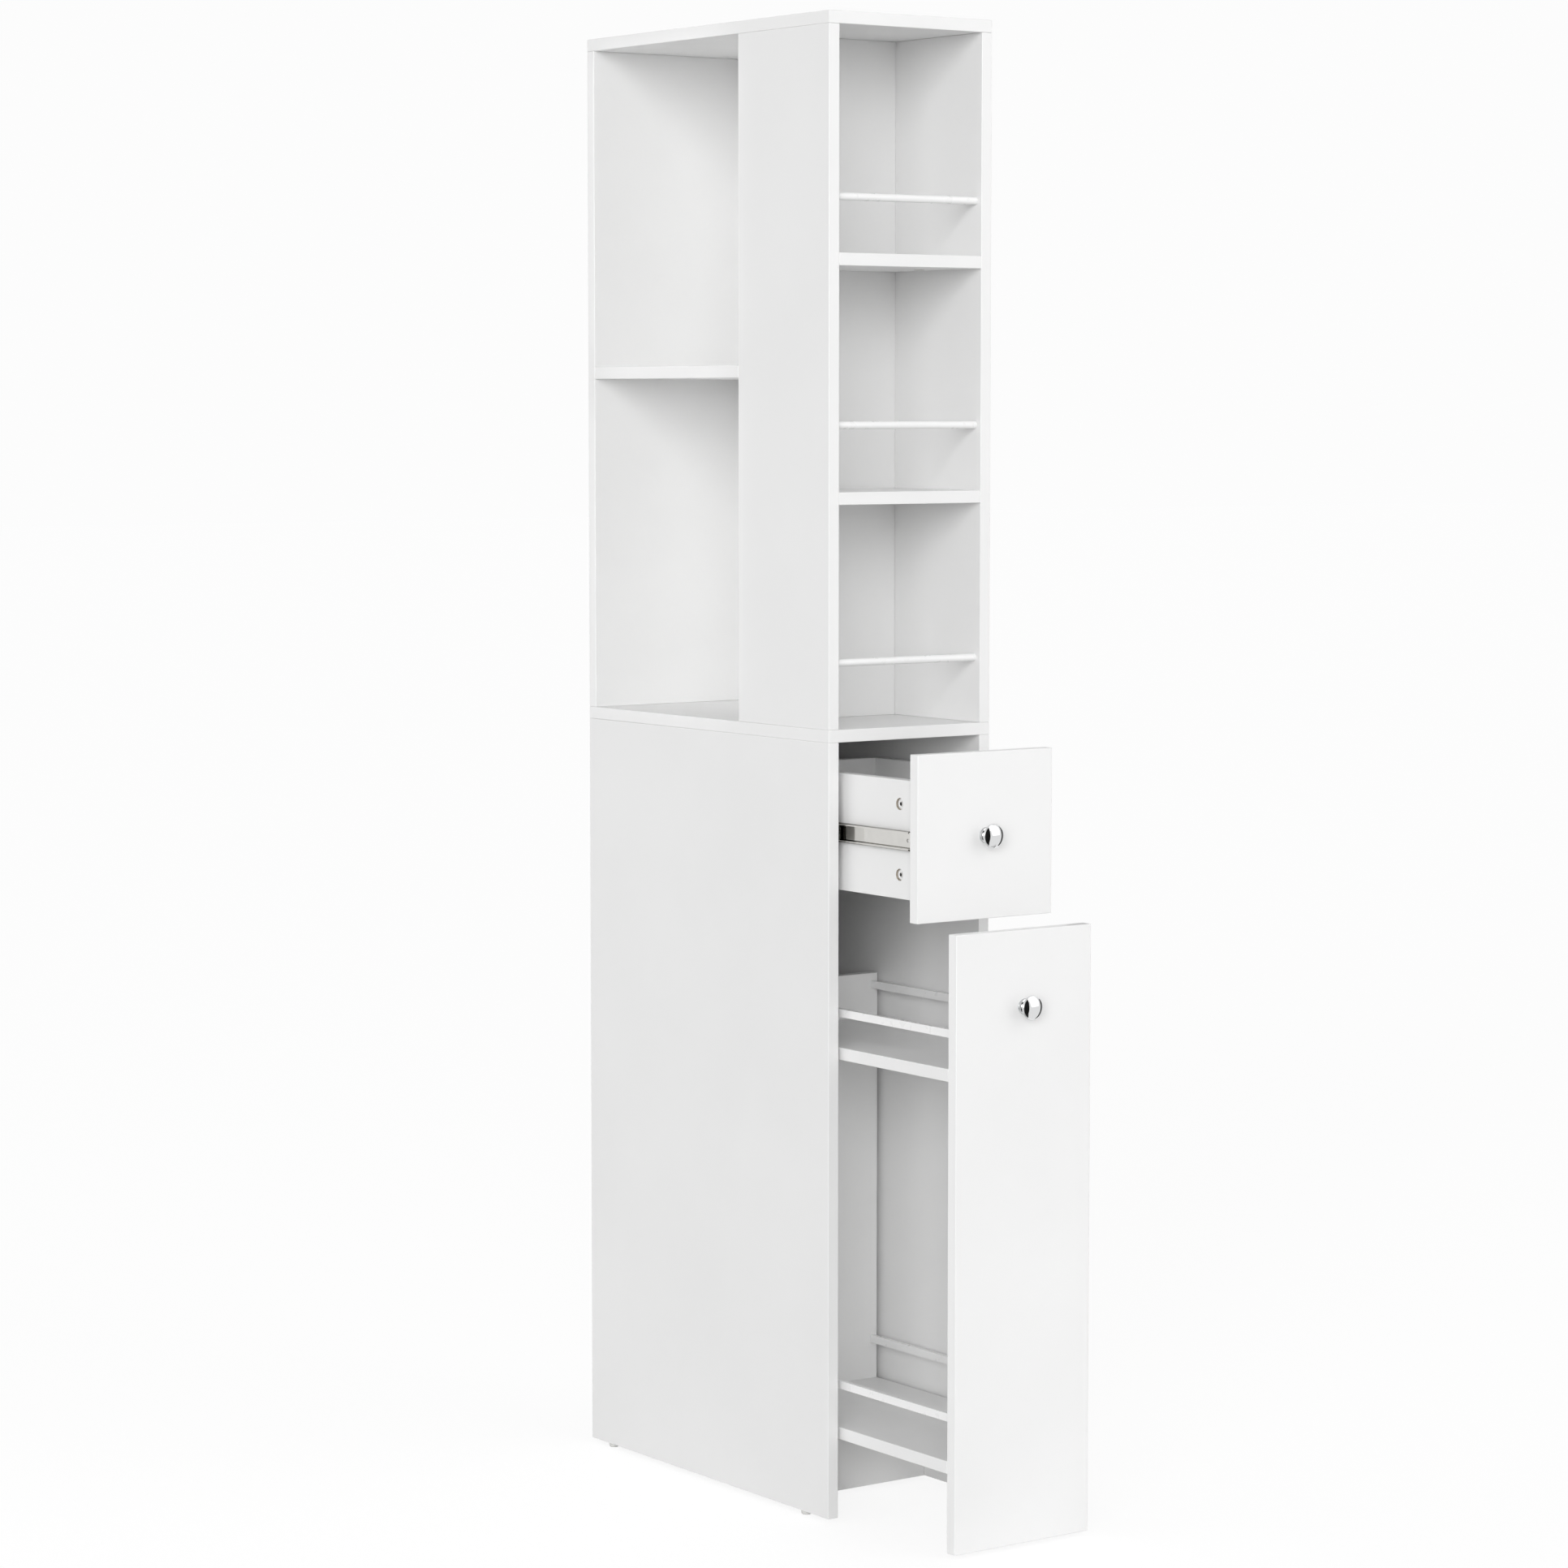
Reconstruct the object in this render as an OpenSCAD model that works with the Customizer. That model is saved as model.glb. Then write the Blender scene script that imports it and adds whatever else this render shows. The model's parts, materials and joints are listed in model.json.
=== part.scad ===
// Slim bathroom storage tower: open bays above, a drawer and a tall pull-out below.
// Working frame of the modules: X across the front from the left outer face, Y from the
// front edges towards the back, Z up from the floor. case_frame() moves it to the origin.

/* [Case] */
// Outer width of the tower
case_w = 240; // [225:1:300]
// Depth from the front edges to the rear face
case_d = 514; // [480:1:560]
// Height from the floor to the top face
case_h = 1785; // [1700:1:1850]
// Thickness of every panel
board_t = 15; // [14:0.5:16]
// Height of the middle board's top face above the floor
middle_top_z = 948.4; // [930:0.1:965]

/* [Upper bays] */
// Depth of the closed strip on the left side
strip_d = 184.5; // [170:0.5:200]
// Number of bays that open to the front
front_bays = 3; // [3:1:3]
// Clear height of the lower bay that opens to the side
side_bay_h = 413.3; // [380:0.1:440]
// Diameter of the bottle rails across the front bays
bottle_rail_d = 9.3; // [8:0.1:10]
// Distance of a bottle rail's axis behind the front edges
bottle_rail_setback = 11.5; // [9:0.5:16]
// Height of the top bottle rail above its shelf
bottle_rail_rise_top = 65.7; // [55:0.1:75]
// Height of the two lower bottle rails above their shelves
bottle_rail_rise = 78.2; // [68:0.1:90]
// Depth of the blind holes that hold a bottle rail's ends
bottle_rail_seat = 8; // [6:0.5:10]

/* [Plinth and feet] */
// Distance of the plinth rail behind the front edges
plinth_setback = 105; // [95:1:115]
// Height of a glide foot
glide_h = 5; // [4:0.5:8]
// Diameter of a glide foot
glide_d = 12.5; // [10:0.5:14]
// Distance of the front feet's centres behind the front edges
glide_front = 54; // [40:1:70]
// Distance of the rear feet's centres from the rear face
glide_rear = 40; // [30:1:60]
// Length of the pin that holds a foot in a side panel
glide_pin_l = 12; // [8:1:16]
// Diameter of that pin
glide_pin_d = 3; // [2.5:0.1:4]

/* [Drawer] */
// Reveal around the drawer front and the pull-out front
front_gap = 5.7; // [4:0.1:7]
// Height of the drawer front
drawer_front_h = 195.8; // [180:0.1:210]
// Height of the drawer's sides and back
drawer_side_h = 139; // [120:1:145]
// Height of the sides' lower edge above the front's lower edge
drawer_side_lift = 25.2; // [20:0.1:30]
// Length of the drawer's sides
drawer_side_l = 316.4; // [305:0.1:340]
// Thickness of the drawer's bottom panel
drawer_bottom_t = 3; // [2.5:0.1:4]
// Height of the bottom panel above the sides' lower edges
drawer_bottom_lift = 10; // [8:0.5:14]
// Depth of the groove that holds the bottom panel
groove_depth = 6; // [4:0.5:8]
// How far the drawer stands open at rest
drawer_open = 145.4; // [0:0.1:150]

/* [Pull-out] */
// Height of the pull-out's underside above the floor
pullout_base_z = 98.5; // [90:0.1:110]
// Length of the pull-out's shelves from front to back
pullout_shelf_l = 400; // [380:0.5:420]
// Distance from the bottom shelf to the middle shelf
pullout_shelf_pitch = 457.2; // [420:0.1:480]
// Height of the pull-out's back panel
pullout_back_h = 526.5; // [515:0.5:540]
// Height of a gallery rail's cross-section
gallery_h = 9.4; // [8:0.1:12]
// Thickness of a gallery rail
gallery_t = 6; // [5:0.5:8]
// Height of the lower gallery rails' axes above the bottom shelf
gallery_rise_lower = 49.9; // [40:0.1:60]
// Height of the upper gallery rails' axes above the middle shelf
gallery_rise_upper = 40.2; // [32:0.1:44]
// Distance of a gallery rail from the side edge of the shelf
gallery_inset = 4; // [3:0.5:8]
// Depth of the mortises that hold a gallery rail's ends
gallery_seat = 6; // [4:0.5:8]
// Distance of the slides' axes under the pull-out from the side panels
pullout_slide_inset = 58; // [50:1:70]
// How far the pull-out stands open at rest
pullout_open = 219; // [150:1:300]

/* [Telescopic slides] */
// Closed length of a slide
slide_l = 300; // [280:5:310]
// Height of the fixed outer member
slide_h = 45; // [43:0.5:47]
// Installed thickness of a slide
slide_t = 12.7; // [12.5:0.1:13.5]
// Steel thickness of the rolled members
slide_sheet = 1.2; // [1:0.1:1.3]
// Diameter of the bearing balls
ball_d = 3.7; // [3.4:0.1:4]
// Balls in one row of a cage
balls_per_row = 7; // [5:1:8]
// Distance of the drawer slides' front ends behind the fronts
slide_front_gap = 2; // [1:0.5:5]
// Distance of a cage from each end of its travel
cage_end_gap = 5; // [3:0.5:8]

/* [Knobs] */
// Diameter of a knob's head
knob_d = 29; // [24:0.5:32]
// Diameter of a knob's foot
knob_base_d = 19; // [16:0.5:22]
// Diameter of a knob's neck
knob_neck_d = 10; // [9:0.5:12]
// Length of a knob in front of the panel
knob_l = 20.5; // [18:0.5:26]
// Distance of the pull-out's knob below the front's upper edge
pullout_knob_drop = 89.3; // [70:0.1:110]
// Diameter of the knob screws
knob_screw_d = 4; // [3:0.5:5]

/* [Panel fittings] */
// Diameter of a wooden dowel
dowel_d = 8; // [6:1:8]
// Length of a wooden dowel
dowel_l = 30; // [25:1:32]
// Depth of a dowel or a cam bolt in the face of a panel
face_depth = 9; // [8:0.5:10]
// Distance of the first dowels from a panel's corner
dowel_margin = 35; // [30:1:40]
// Shift of the lower panels' dowels from those of the upper panels
dowel_shift = 25; // [20:1:28]
// Distance of the partition's dowels from its upper and lower edges
partition_dowel_rise = 60; // [45:5:90]
// Distance of the partition's cam locks from its upper and lower edges
partition_cam_rise = 150; // [120:5:200]
// Distance of the rear panels' dowels from their upper and lower edges
back_dowel_rise = 100; // [80:5:120]
// Distance of the rear panels' cam locks from their upper and lower edges
back_cam_rise = 200; // [160:5:240]
// Distance of the cross rails' dowels from their upper and lower edges
rail_dowel_rise = 18; // [14:1:22]
// Diameter of a cam lock
cam_d = 14; // [12:0.5:15]
// Height of a cam lock
cam_h = 11; // [9.5:0.5:11]
// Depth of a cam lock's face below the panel's
cam_sink = 1.5; // [0.5:0.5:1.5]
// Width of the hexagon socket in a cam lock
cam_socket = 4; // [3:0.5:5]
// Distance of a cam lock's axis from the joint
cam_reach = 28.4; // [24:0.1:34]
// Diameter of a cam bolt
cam_bolt_d = 6; // [5:0.5:6.5]
// Distance of the drawer's cam locks above and below the slide
cam_offset = 41.3; // [30:0.1:50]
// Diameter of a slide screw's shank
screw_d = 3.5; // [3:0.1:4]
// Length of a slide screw
screw_l = 12; // [10:0.5:13]

/* [Hidden] */
$fn = 48;

// Clearance of a fitting in its hole, on the radius or on each side
fit = 0.05;
// Free space beyond the end of a fitting in a blind hole
end_gap = 0.5;
// Space that a moving curved face keeps from its neighbour
run_gap = 0.3;
// Overrun of a cutting solid beyond the face it cuts
cut = 1;

melamine = "#f6f6f5";
lacquer = "#fafafa";
steel = "#c9ccd0";
chrome = "#dfe3e8";
beech = "#d9b98c";
zinc = "#d8d9da";
plastic = "#f1f1ee";

// Case levels and planes
inner_r = case_w - board_t;
inner_w = case_w - 2 * board_t;
middle_z = middle_top_z - board_t;
top_z = case_h - board_t;
back_y = case_d - board_t;
partition_y = strip_d - board_t;
side_shelf_z = middle_top_z + side_bay_h;
bay_h = (top_z - middle_top_z - (front_bays - 1) * board_t) / front_bays;

// Fronts
front_x0 = board_t + front_gap;
front_x1 = inner_r - front_gap;
drawer_front_z1 = middle_z - front_gap;
drawer_front_z0 = drawer_front_z1 - drawer_front_h;
pullout_front_z1 = drawer_front_z0 - front_gap;

// Drawer box
drawer_x0 = board_t + slide_t;
drawer_x1 = inner_r - slide_t;
drawer_z0 = drawer_front_z0 + drawer_side_lift;
drawer_mid_z = drawer_z0 + drawer_side_h / 2;
drawer_back_y = board_t + drawer_side_l - board_t;
drawer_bottom_z = drawer_z0 + drawer_bottom_lift;
drawer_slide_y = board_t + slide_front_gap;

// Pull-out
pullout_back_y = board_t + pullout_shelf_l;
bottom_shelf_z1 = pullout_base_z + board_t;
middle_shelf_z0 = pullout_base_z + pullout_shelf_pitch;
plinth_top_z = pullout_base_z - slide_t;
pullout_slide_y = plinth_setback;
rear_rail_y = pullout_slide_y + slide_l - board_t;

// Telescopic slide: each stage travels half the slide's length
stage_travel = slide_l / 2;
drawer_stage_1 = max(0, drawer_open - stage_travel);
drawer_stage_2 = drawer_open - drawer_stage_1;
pullout_stage_1 = max(0, pullout_open - stage_travel);
pullout_stage_2 = pullout_open - pullout_stage_1;
cage_l = stage_travel - 2 * cage_end_gap;
// A cage rolls half as far as the member that runs on it
cage_closed_y = stage_travel / 2 + cage_end_gap;

// Slide section: u is across the slide, v is from the fixed side to the moving side
ball_gap = ball_d + 2 * run_gap;
outer_u = slide_h / 2;
middle_u = outer_u - slide_sheet - ball_gap;
inner_u = middle_u - slide_sheet - ball_gap;
outer_v1 = slide_t - 1.7;
cage_sheet = 0.5;
middle_v0 = slide_sheet + cage_sheet + 2 * run_gap;
middle_v1 = slide_t - slide_sheet - 1.2;
inner_v0 = middle_v0 + slide_sheet + cage_sheet + 2 * run_gap + 0.1;
outer_ball_v = (slide_sheet + outer_v1) / 2 + 0.4;
inner_ball_v = (middle_v0 + middle_v1) / 2 + 0.6;
screw_head_d = 2 * screw_d;

// Where the pieces stand in the working frame at rest
drawer_shift = -drawer_open;
pullout_shift = -pullout_open;
rest_front_y = min(drawer_shift, pullout_shift) - knob_l;
origin_y = (rest_front_y + case_d) / 2;

function reversed(v) = [-v.x, -v.y, -v.z];
// Turn that takes +Z to one of the six axis directions
function turn_to(dir) = dir.x != 0 ? [0, 90 * dir.x, 0]
    : dir.y != 0 ? [-90 * dir.y, 0, 0]
    : dir.z < 0 ? [180, 0, 0] : [0, 0, 0];

module case_frame() translate([-case_w / 2, -origin_y, 0]) children();
module slid(distance) translate([0, distance, 0]) children();

// A panel between two opposite corners
module panel(from, to) translate(from) cube(to - from);

// ---- Joint layout: [point on the joint, direction into the panel's face, side of the cam] ----

left = [-1, 0, 0];
right = [1, 0, 0];
front = [0, -1, 0];
back = [0, 1, 0];
up = [0, 0, 1];
down = [0, 0, -1];

// Centres of the upper uprights in plan
upper_posts = [
    [board_t / 2, dowel_margin], [board_t / 2, strip_d - dowel_margin],
    [case_w - board_t / 2, dowel_margin], [case_w - board_t / 2, case_d / 2],
    [case_w - board_t / 2, case_d - dowel_margin],
    [board_t + dowel_margin, case_d - board_t / 2], [inner_r - dowel_margin, case_d - board_t / 2]
];
// Places along the lower sides, clear of the upper set
lower_dowel_ys = [dowel_margin + dowel_shift, case_d / 2 + dowel_shift, case_d - dowel_margin - dowel_shift];
lower_cam_ys = [strip_d + dowel_shift, (lower_dowel_ys[1] + lower_dowel_ys[2]) / 2];
// Centres of the lower uprights in plan
lower_posts = [
    for (x = [board_t / 2, case_w - board_t / 2]) for (y = lower_dowel_ys) [x, y],
    [board_t + dowel_margin + dowel_shift, case_d - board_t / 2],
    [inner_r - dowel_margin - dowel_shift, case_d - board_t / 2]
];
shelf_levels = [for (i = [1 : front_bays - 1]) middle_top_z + i * bay_h + (i - 0.5) * board_t];
rail_ys = [plinth_setback + board_t / 2, rear_rail_y + board_t / 2];
side_shelf_mid = side_shelf_z + board_t / 2;
// The joints at the left end and the right end of a piece between two uprights
function both_ends(y, z) = [[[board_t, y, z], left], [[inner_r, y, z], right]];

case_dowel_joints = [
    for (p = upper_posts) [[p.x, p.y, top_z], up],
    for (p = upper_posts) [[p.x, p.y, middle_top_z], down],
    for (p = lower_posts) [[p.x, p.y, middle_z], up],
    for (z = shelf_levels) for (y = [dowel_margin, partition_y - dowel_margin])
        each both_ends(y, z),
    for (z = [middle_top_z + partition_dowel_rise, top_z - partition_dowel_rise])
        each both_ends(partition_y + board_t / 2, z),
    for (y = [strip_d + dowel_margin, back_y - dowel_margin]) [[inner_r, y, side_shelf_mid], right],
    [[board_t + dowel_margin, strip_d, side_shelf_mid], front],
    [[board_t + dowel_margin, back_y, side_shelf_mid], back],
    for (z = [middle_top_z + back_dowel_rise, top_z - back_dowel_rise])
        [[inner_r, case_d - board_t / 2, z], right],
    for (z = [glide_h + back_dowel_rise, middle_z - back_dowel_rise])
        each both_ends(case_d - board_t / 2, z),
    for (y = rail_ys) for (z = [glide_h + rail_dowel_rise, plinth_top_z - rail_dowel_rise])
        each both_ends(y, z)
];

// Adds to a joint the face of the panel that its cam lock opens to
function with_cam(joints, face) = [for (j = joints) [j[0], j[1], face]];

case_cam_joints = [
    for (x = [board_t / 2, case_w - board_t / 2]) for (y = lower_cam_ys) [[x, y, middle_z], up, right],
    for (y = rail_ys) each with_cam(both_ends(y, (glide_h + plinth_top_z) / 2), back),
    [[board_t / 2, strip_d / 2, top_z], up, right],
    [[board_t / 2, strip_d / 2, middle_top_z], down, right],
    [[case_w - board_t / 2, (strip_d + back_y) / 2, top_z], up, right],
    [[case_w - board_t / 2, (strip_d + back_y) / 2, middle_top_z], down, right],
    for (z = [middle_top_z + partition_cam_rise, top_z - partition_cam_rise])
        each with_cam(both_ends(partition_y + board_t / 2, z), back),
    for (z = shelf_levels) each with_cam(both_ends(partition_y / 2, z), down),
    [[inner_r, (strip_d + back_y) / 2, side_shelf_mid], right, down],
    [[case_w / 2, back_y, side_shelf_mid], back, down],
    for (z = [middle_top_z + back_cam_rise, top_z - back_cam_rise])
        [[inner_r, case_d - board_t / 2, z], right, back],
    for (z = [glide_h + back_cam_rise, middle_z - back_cam_rise])
        each with_cam(both_ends(case_d - board_t / 2, z), front)
];

drawer_side_mids = [drawer_x0 + board_t / 2, drawer_x1 - board_t / 2];
drawer_cam_joints = [
    for (side = [0, 1]) for (step = [-1, 1])
        [[drawer_side_mids[side], board_t, drawer_mid_z + step * cam_offset], front, side == 0 ? left : right]
];
drawer_dowel_joints = [
    for (x = drawer_side_mids) for (step = [-1, 1])
        [[x, board_t, drawer_mid_z + step * cam_offset / 2], front],
    for (step = [-1, 1]) each [
        [[drawer_x0 + board_t, drawer_back_y + board_t / 2, drawer_mid_z + step * cam_offset], left],
        [[drawer_x1 - board_t, drawer_back_y + board_t / 2, drawer_mid_z + step * cam_offset], right]
    ]
];
pullout_shelf_mids = [pullout_base_z + board_t / 2, middle_shelf_z0 + board_t / 2];
pullout_cam_joints = [
    for (z = pullout_shelf_mids) each [
        [[case_w / 2, board_t, z], front, down], [[case_w / 2, pullout_back_y, z], back, down]
    ]
];
pullout_dowel_joints = [
    for (z = pullout_shelf_mids) for (x = [front_x0 + dowel_margin, front_x1 - dowel_margin]) each [
        [[x, board_t, z], front], [[x, pullout_back_y, z], back]
    ]
];

// ---- Fittings ----

module dowel(joint, gap = 0) {
    slack = gap > 0 ? end_gap : 0;
    translate(joint[0]) rotate(turn_to(joint[1])) translate([0, 0, face_depth - dowel_l - slack])
        cylinder(d = dowel_d + 2 * gap, h = dowel_l + 2 * slack);
}

module dowel_set(joints) for (joint = joints) dowel(joint);
module dowel_holes(joints) for (joint = joints) dowel(joint, fit);

module cam_bolt(joint, gap = 0) {
    slack = gap > 0 ? end_gap : 0;
    translate(joint[0]) rotate(turn_to(joint[1])) translate([0, 0, -cam_reach - slack])
        cylinder(d = cam_bolt_d + 2 * gap, h = cam_reach + face_depth + 2 * slack);
}

// Carries its children to the inner end of a cam lock, with +Z towards the open face
module at_cam(joint) {
    translate(joint[0] - cam_reach * joint[1] + (board_t / 2 - cam_sink - cam_h) * joint[2])
        rotate(turn_to(joint[2])) children();
}

module cam_lock(joint) {
    rim = 0.6;
    socket_h = 2.4;
    difference() {
        at_cam(joint) difference() {
            union() {
                cylinder(d = cam_d, h = cam_h - rim);
                translate([0, 0, cam_h - rim]) cylinder(d1 = cam_d, d2 = cam_d - 2 * rim, h = rim);
            }
            translate([0, 0, cam_h - socket_h]) linear_extrude(socket_h + cut)
                polygon([for (a = [0 : 60 : 300]) cam_socket / 2 / cos(30) * [cos(a), sin(a)]]);
        }
        cam_bolt(joint, 2 * fit);
    }
}

module cam_set(joints) for (joint = joints) {
    cam_lock(joint);
    cam_bolt(joint);
}

module cam_holes(joints) for (joint = joints) {
    cam_bolt(joint, fit);
    at_cam(joint) translate([0, 0, -fit]) cylinder(d = cam_d + 2 * fit, h = cam_h + cam_sink + fit + cut);
}

module case_joinery() {
    dowel_holes(case_dowel_joints);
    cam_holes(case_cam_joints);
}

// ---- Telescopic slide, drawn along +Y with its front end at 0, u along Z and v along X ----

module rounded_section(v0, v1, u, r) {
    translate([v0 + r, -u]) square([v1 - v0 - 2 * r, 2 * u]);
    translate([v0, -u + r]) square([v1 - v0, 2 * u - 2 * r]);
    for (v = [v0 + r, v1 - r]) for (s = [-1, 1]) translate([v, s * (u - r)]) circle(r = r);
}

// A rolled channel whose lips turn in at the open side
module channel_section(v0, v1, u, r, lip, open_high) {
    difference() {
        rounded_section(v0, v1, u, r);
        rounded_section(v0 + slide_sheet, v1 - slide_sheet, u - slide_sheet, r - slide_sheet);
        translate([open_high ? v1 - slide_sheet - cut : v0 - cut, -(u - lip)])
            square([slide_sheet + 2 * cut, 2 * (u - lip)]);
    }
}

module along_y(length) rotate([90, 0, 0]) translate([0, 0, -length]) linear_extrude(length) children();

// Positions of the screws in the webs of the fixed and the moving member
outer_screw_ys = [board_t / 2, slide_l - board_t / 2];
inner_screw_ys = [slide_l * 0.6, slide_l - 25];
spare_hole_y = 9;
spare_hole_d = 4.5;

module web_holes(v, ys, d) for (y = ys) translate([v - cut, y, 0]) rotate([0, 90, 0])
    cylinder(d = d, h = slide_sheet + 2 * cut);

module slide_outer() difference() {
    along_y(slide_l) channel_section(0, outer_v1, outer_u, 3, 2.4, true);
    web_holes(0, outer_screw_ys, screw_head_d + 2 * fit);
    web_holes(0, [slide_l * 0.35, slide_l * 0.65], spare_hole_d);
}

module slide_middle() difference() {
    along_y(slide_l) channel_section(middle_v0, middle_v1, middle_u, 2.6, 2.4, true);
    for (y = [slide_l * 0.2, slide_l * 0.5, slide_l * 0.8]) for (end = [-6, 6])
        web_holes(middle_v0, [y + end], 7);
    for (y = [slide_l * 0.2, slide_l * 0.5, slide_l * 0.8])
        translate([middle_v0 - cut, y - 6, -3.5]) cube([slide_sheet + 2 * cut, 12, 7]);
}

module slide_inner() difference() {
    along_y(slide_l) channel_section(inner_v0, slide_t, inner_u, 2.2, 2.4, false);
    web_holes(slide_t - slide_sheet, inner_screw_ys, screw_head_d + 2 * fit);
    web_holes(slide_t - slide_sheet, [spare_hole_y, slide_l / 2], spare_hole_d);
}

// A bent strip that carries two rows of balls
module cage(web_v, ball_u, ball_v) {
    strip = 0.7;
    along_y(cage_l) {
        translate([web_v, -ball_u - strip / 2]) square([cage_sheet, 2 * ball_u + strip]);
        for (s = [-1, 1]) translate([web_v, s * ball_u - strip / 2])
            square([ball_v + ball_d * 0.3 - web_v, strip]);
    }
    for (i = [0 : balls_per_row - 1]) for (s = [-1, 1])
        translate([ball_v, (i + 0.5) * cage_l / balls_per_row, s * ball_u]) sphere(d = ball_d);
}

module outer_cage() cage(slide_sheet + run_gap, (outer_u - slide_sheet + middle_u) / 2, outer_ball_v);
module inner_cage() cage(middle_v0 + slide_sheet + run_gap, (middle_u - slide_sheet + inner_u) / 2,
    inner_ball_v);

// A screw whose head sits in the web at v, with its shank along +X and a cross recess in the head
module web_screw(v, y) translate([v, y, 0]) rotate([0, 90, 0]) difference() {
    union() {
        cylinder(d = screw_head_d, h = slide_sheet);
        translate([0, 0, slide_sheet]) cylinder(d = screw_d, h = screw_l - slide_sheet);
    }
    for (arm = [[3.2, 0.8], [0.8, 3.2]]) translate([-arm.x / 2, -arm.y / 2, -cut])
        cube([arm.x, arm.y, 1.5 + cut]);
}
module web_screw_hole(v, y) translate([v, y, 0]) rotate([0, 90, 0])
    cylinder(d = screw_d + 2 * fit, h = screw_l + end_gap);

module outer_screws() mirror([1, 0, 0]) for (y = outer_screw_ys) web_screw(-slide_sheet, y);
module outer_screw_holes() mirror([1, 0, 0]) for (y = outer_screw_ys) web_screw_hole(-slide_sheet, y);
module inner_screws() for (y = inner_screw_ys) web_screw(slide_t - slide_sheet, y);
module inner_screw_holes() for (y = inner_screw_ys) web_screw_hole(slide_t - slide_sheet, y);

// Places of the four slides when everything is closed
module at_drawer_slide(side) {
    translate([side == 0 ? board_t : inner_r, drawer_slide_y, drawer_mid_z])
        mirror([side, 0, 0]) children();
}
module at_pullout_slide(side) {
    translate([side == 0 ? board_t + pullout_slide_inset : inner_r - pullout_slide_inset,
        pullout_slide_y, plinth_top_z])
        rotate([0, -90, 0]) children();
}

// ---- Upper section ----

module top_panel() color(melamine) difference() {
    panel([0, 0, top_z], [case_w, case_d, case_h]);
    case_joinery();
}

module upper_right_side() color(melamine) difference() {
    panel([inner_r, 0, middle_top_z], [case_w, case_d, top_z]);
    case_joinery();
    bottle_rail_cut();
}

module upper_left_strip() color(melamine) difference() {
    panel([0, 0, middle_top_z], [board_t, strip_d, top_z]);
    case_joinery();
    bottle_rail_cut();
}

module upper_back_panel() color(melamine) difference() {
    panel([0, back_y, middle_top_z], [inner_r, case_d, top_z]);
    case_joinery();
}

module partition() color(melamine) difference() {
    panel([board_t, partition_y, middle_top_z], [inner_r, strip_d, top_z]);
    case_joinery();
}

module front_shelf(level) color(melamine) difference() {
    panel([board_t, 0, level - board_t / 2], [inner_r, partition_y, level + board_t / 2]);
    case_joinery();
}
module front_shelf_lower() front_shelf(shelf_levels[0]);
module front_shelf_upper() front_shelf(shelf_levels[front_bays - 2]);

module side_shelf() color(melamine) difference() {
    panel([0, strip_d, side_shelf_z], [inner_r, back_y, side_shelf_z + board_t]);
    case_joinery();
}

bottle_rail_levels = [
    middle_top_z + bottle_rail_rise,
    shelf_levels[0] + board_t / 2 + bottle_rail_rise,
    shelf_levels[front_bays - 2] + board_t / 2 + bottle_rail_rise_top
];

module bottle_rail(level, gap = 0) {
    slack = gap > 0 ? end_gap : 0;
    translate([board_t - bottle_rail_seat - slack, bottle_rail_setback, level]) rotate([0, 90, 0])
        cylinder(d = bottle_rail_d + 2 * gap, h = inner_w + 2 * bottle_rail_seat + 2 * slack);
}
module bottle_rail_cut() for (level = bottle_rail_levels) bottle_rail(level, fit);
module bottle_rail_bottom() color(lacquer) bottle_rail(bottle_rail_levels[0]);
module bottle_rail_middle() color(lacquer) bottle_rail(bottle_rail_levels[1]);
module bottle_rail_top() color(lacquer) bottle_rail(bottle_rail_levels[2]);

// ---- Middle board and lower section ----

module middle_board() color(melamine) difference() {
    panel([0, 0, middle_z], [case_w, case_d, middle_top_z]);
    case_joinery();
}

module lower_side(x0) color(melamine) difference() {
    panel([x0, 0, glide_h], [x0 + board_t, case_d, middle_z]);
    case_joinery();
    for (side = [0, 1]) at_drawer_slide(side) outer_screw_holes();
    glide_pins(fit);
}
module lower_left_side() lower_side(0);
module lower_right_side() lower_side(inner_r);

module lower_back_panel() color(melamine) difference() {
    panel([board_t, back_y, glide_h], [inner_r, case_d, middle_z]);
    case_joinery();
}

module cross_rail(y) color(melamine) difference() {
    panel([board_t, y, glide_h], [inner_r, y + board_t, plinth_top_z]);
    case_joinery();
    for (side = [0, 1]) at_pullout_slide(side) outer_screw_holes();
}
module plinth_rail() cross_rail(plinth_setback);
module rear_rail() cross_rail(rear_rail_y);

module at_glides() for (x = [board_t / 2, case_w - board_t / 2]) for (y = [glide_front, case_d - glide_rear])
    translate([x, y, 0]) children();

module glide_pins(gap) at_glides() translate([0, 0, glide_h - cut])
    cylinder(d = glide_pin_d + 2 * gap, h = glide_pin_l + cut + (gap > 0 ? end_gap : 0));

module glide_feet() color(plastic) {
    at_glides() {
        cylinder(d1 = glide_d - 2, d2 = glide_d, h = 1);
        translate([0, 0, 1]) cylinder(d = glide_d, h = glide_h - 1);
    }
    glide_pins(0);
}

module case_dowels() color(beech) dowel_set(case_dowel_joints);
module case_cam_fittings() color(zinc) cam_set(case_cam_joints);

module case_slide_screws() color(steel) for (side = [0, 1]) {
    at_drawer_slide(side) outer_screws();
    at_pullout_slide(side) outer_screws();
}

module drawer_slide_outer_left() color(steel) at_drawer_slide(0) slide_outer();
module drawer_slide_outer_right() color(steel) at_drawer_slide(1) slide_outer();
module pullout_slide_outer_left() color(steel) at_pullout_slide(0) slide_outer();
module pullout_slide_outer_right() color(steel) at_pullout_slide(1) slide_outer();

// ---- Running members between case, drawer and pull-out ----

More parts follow.
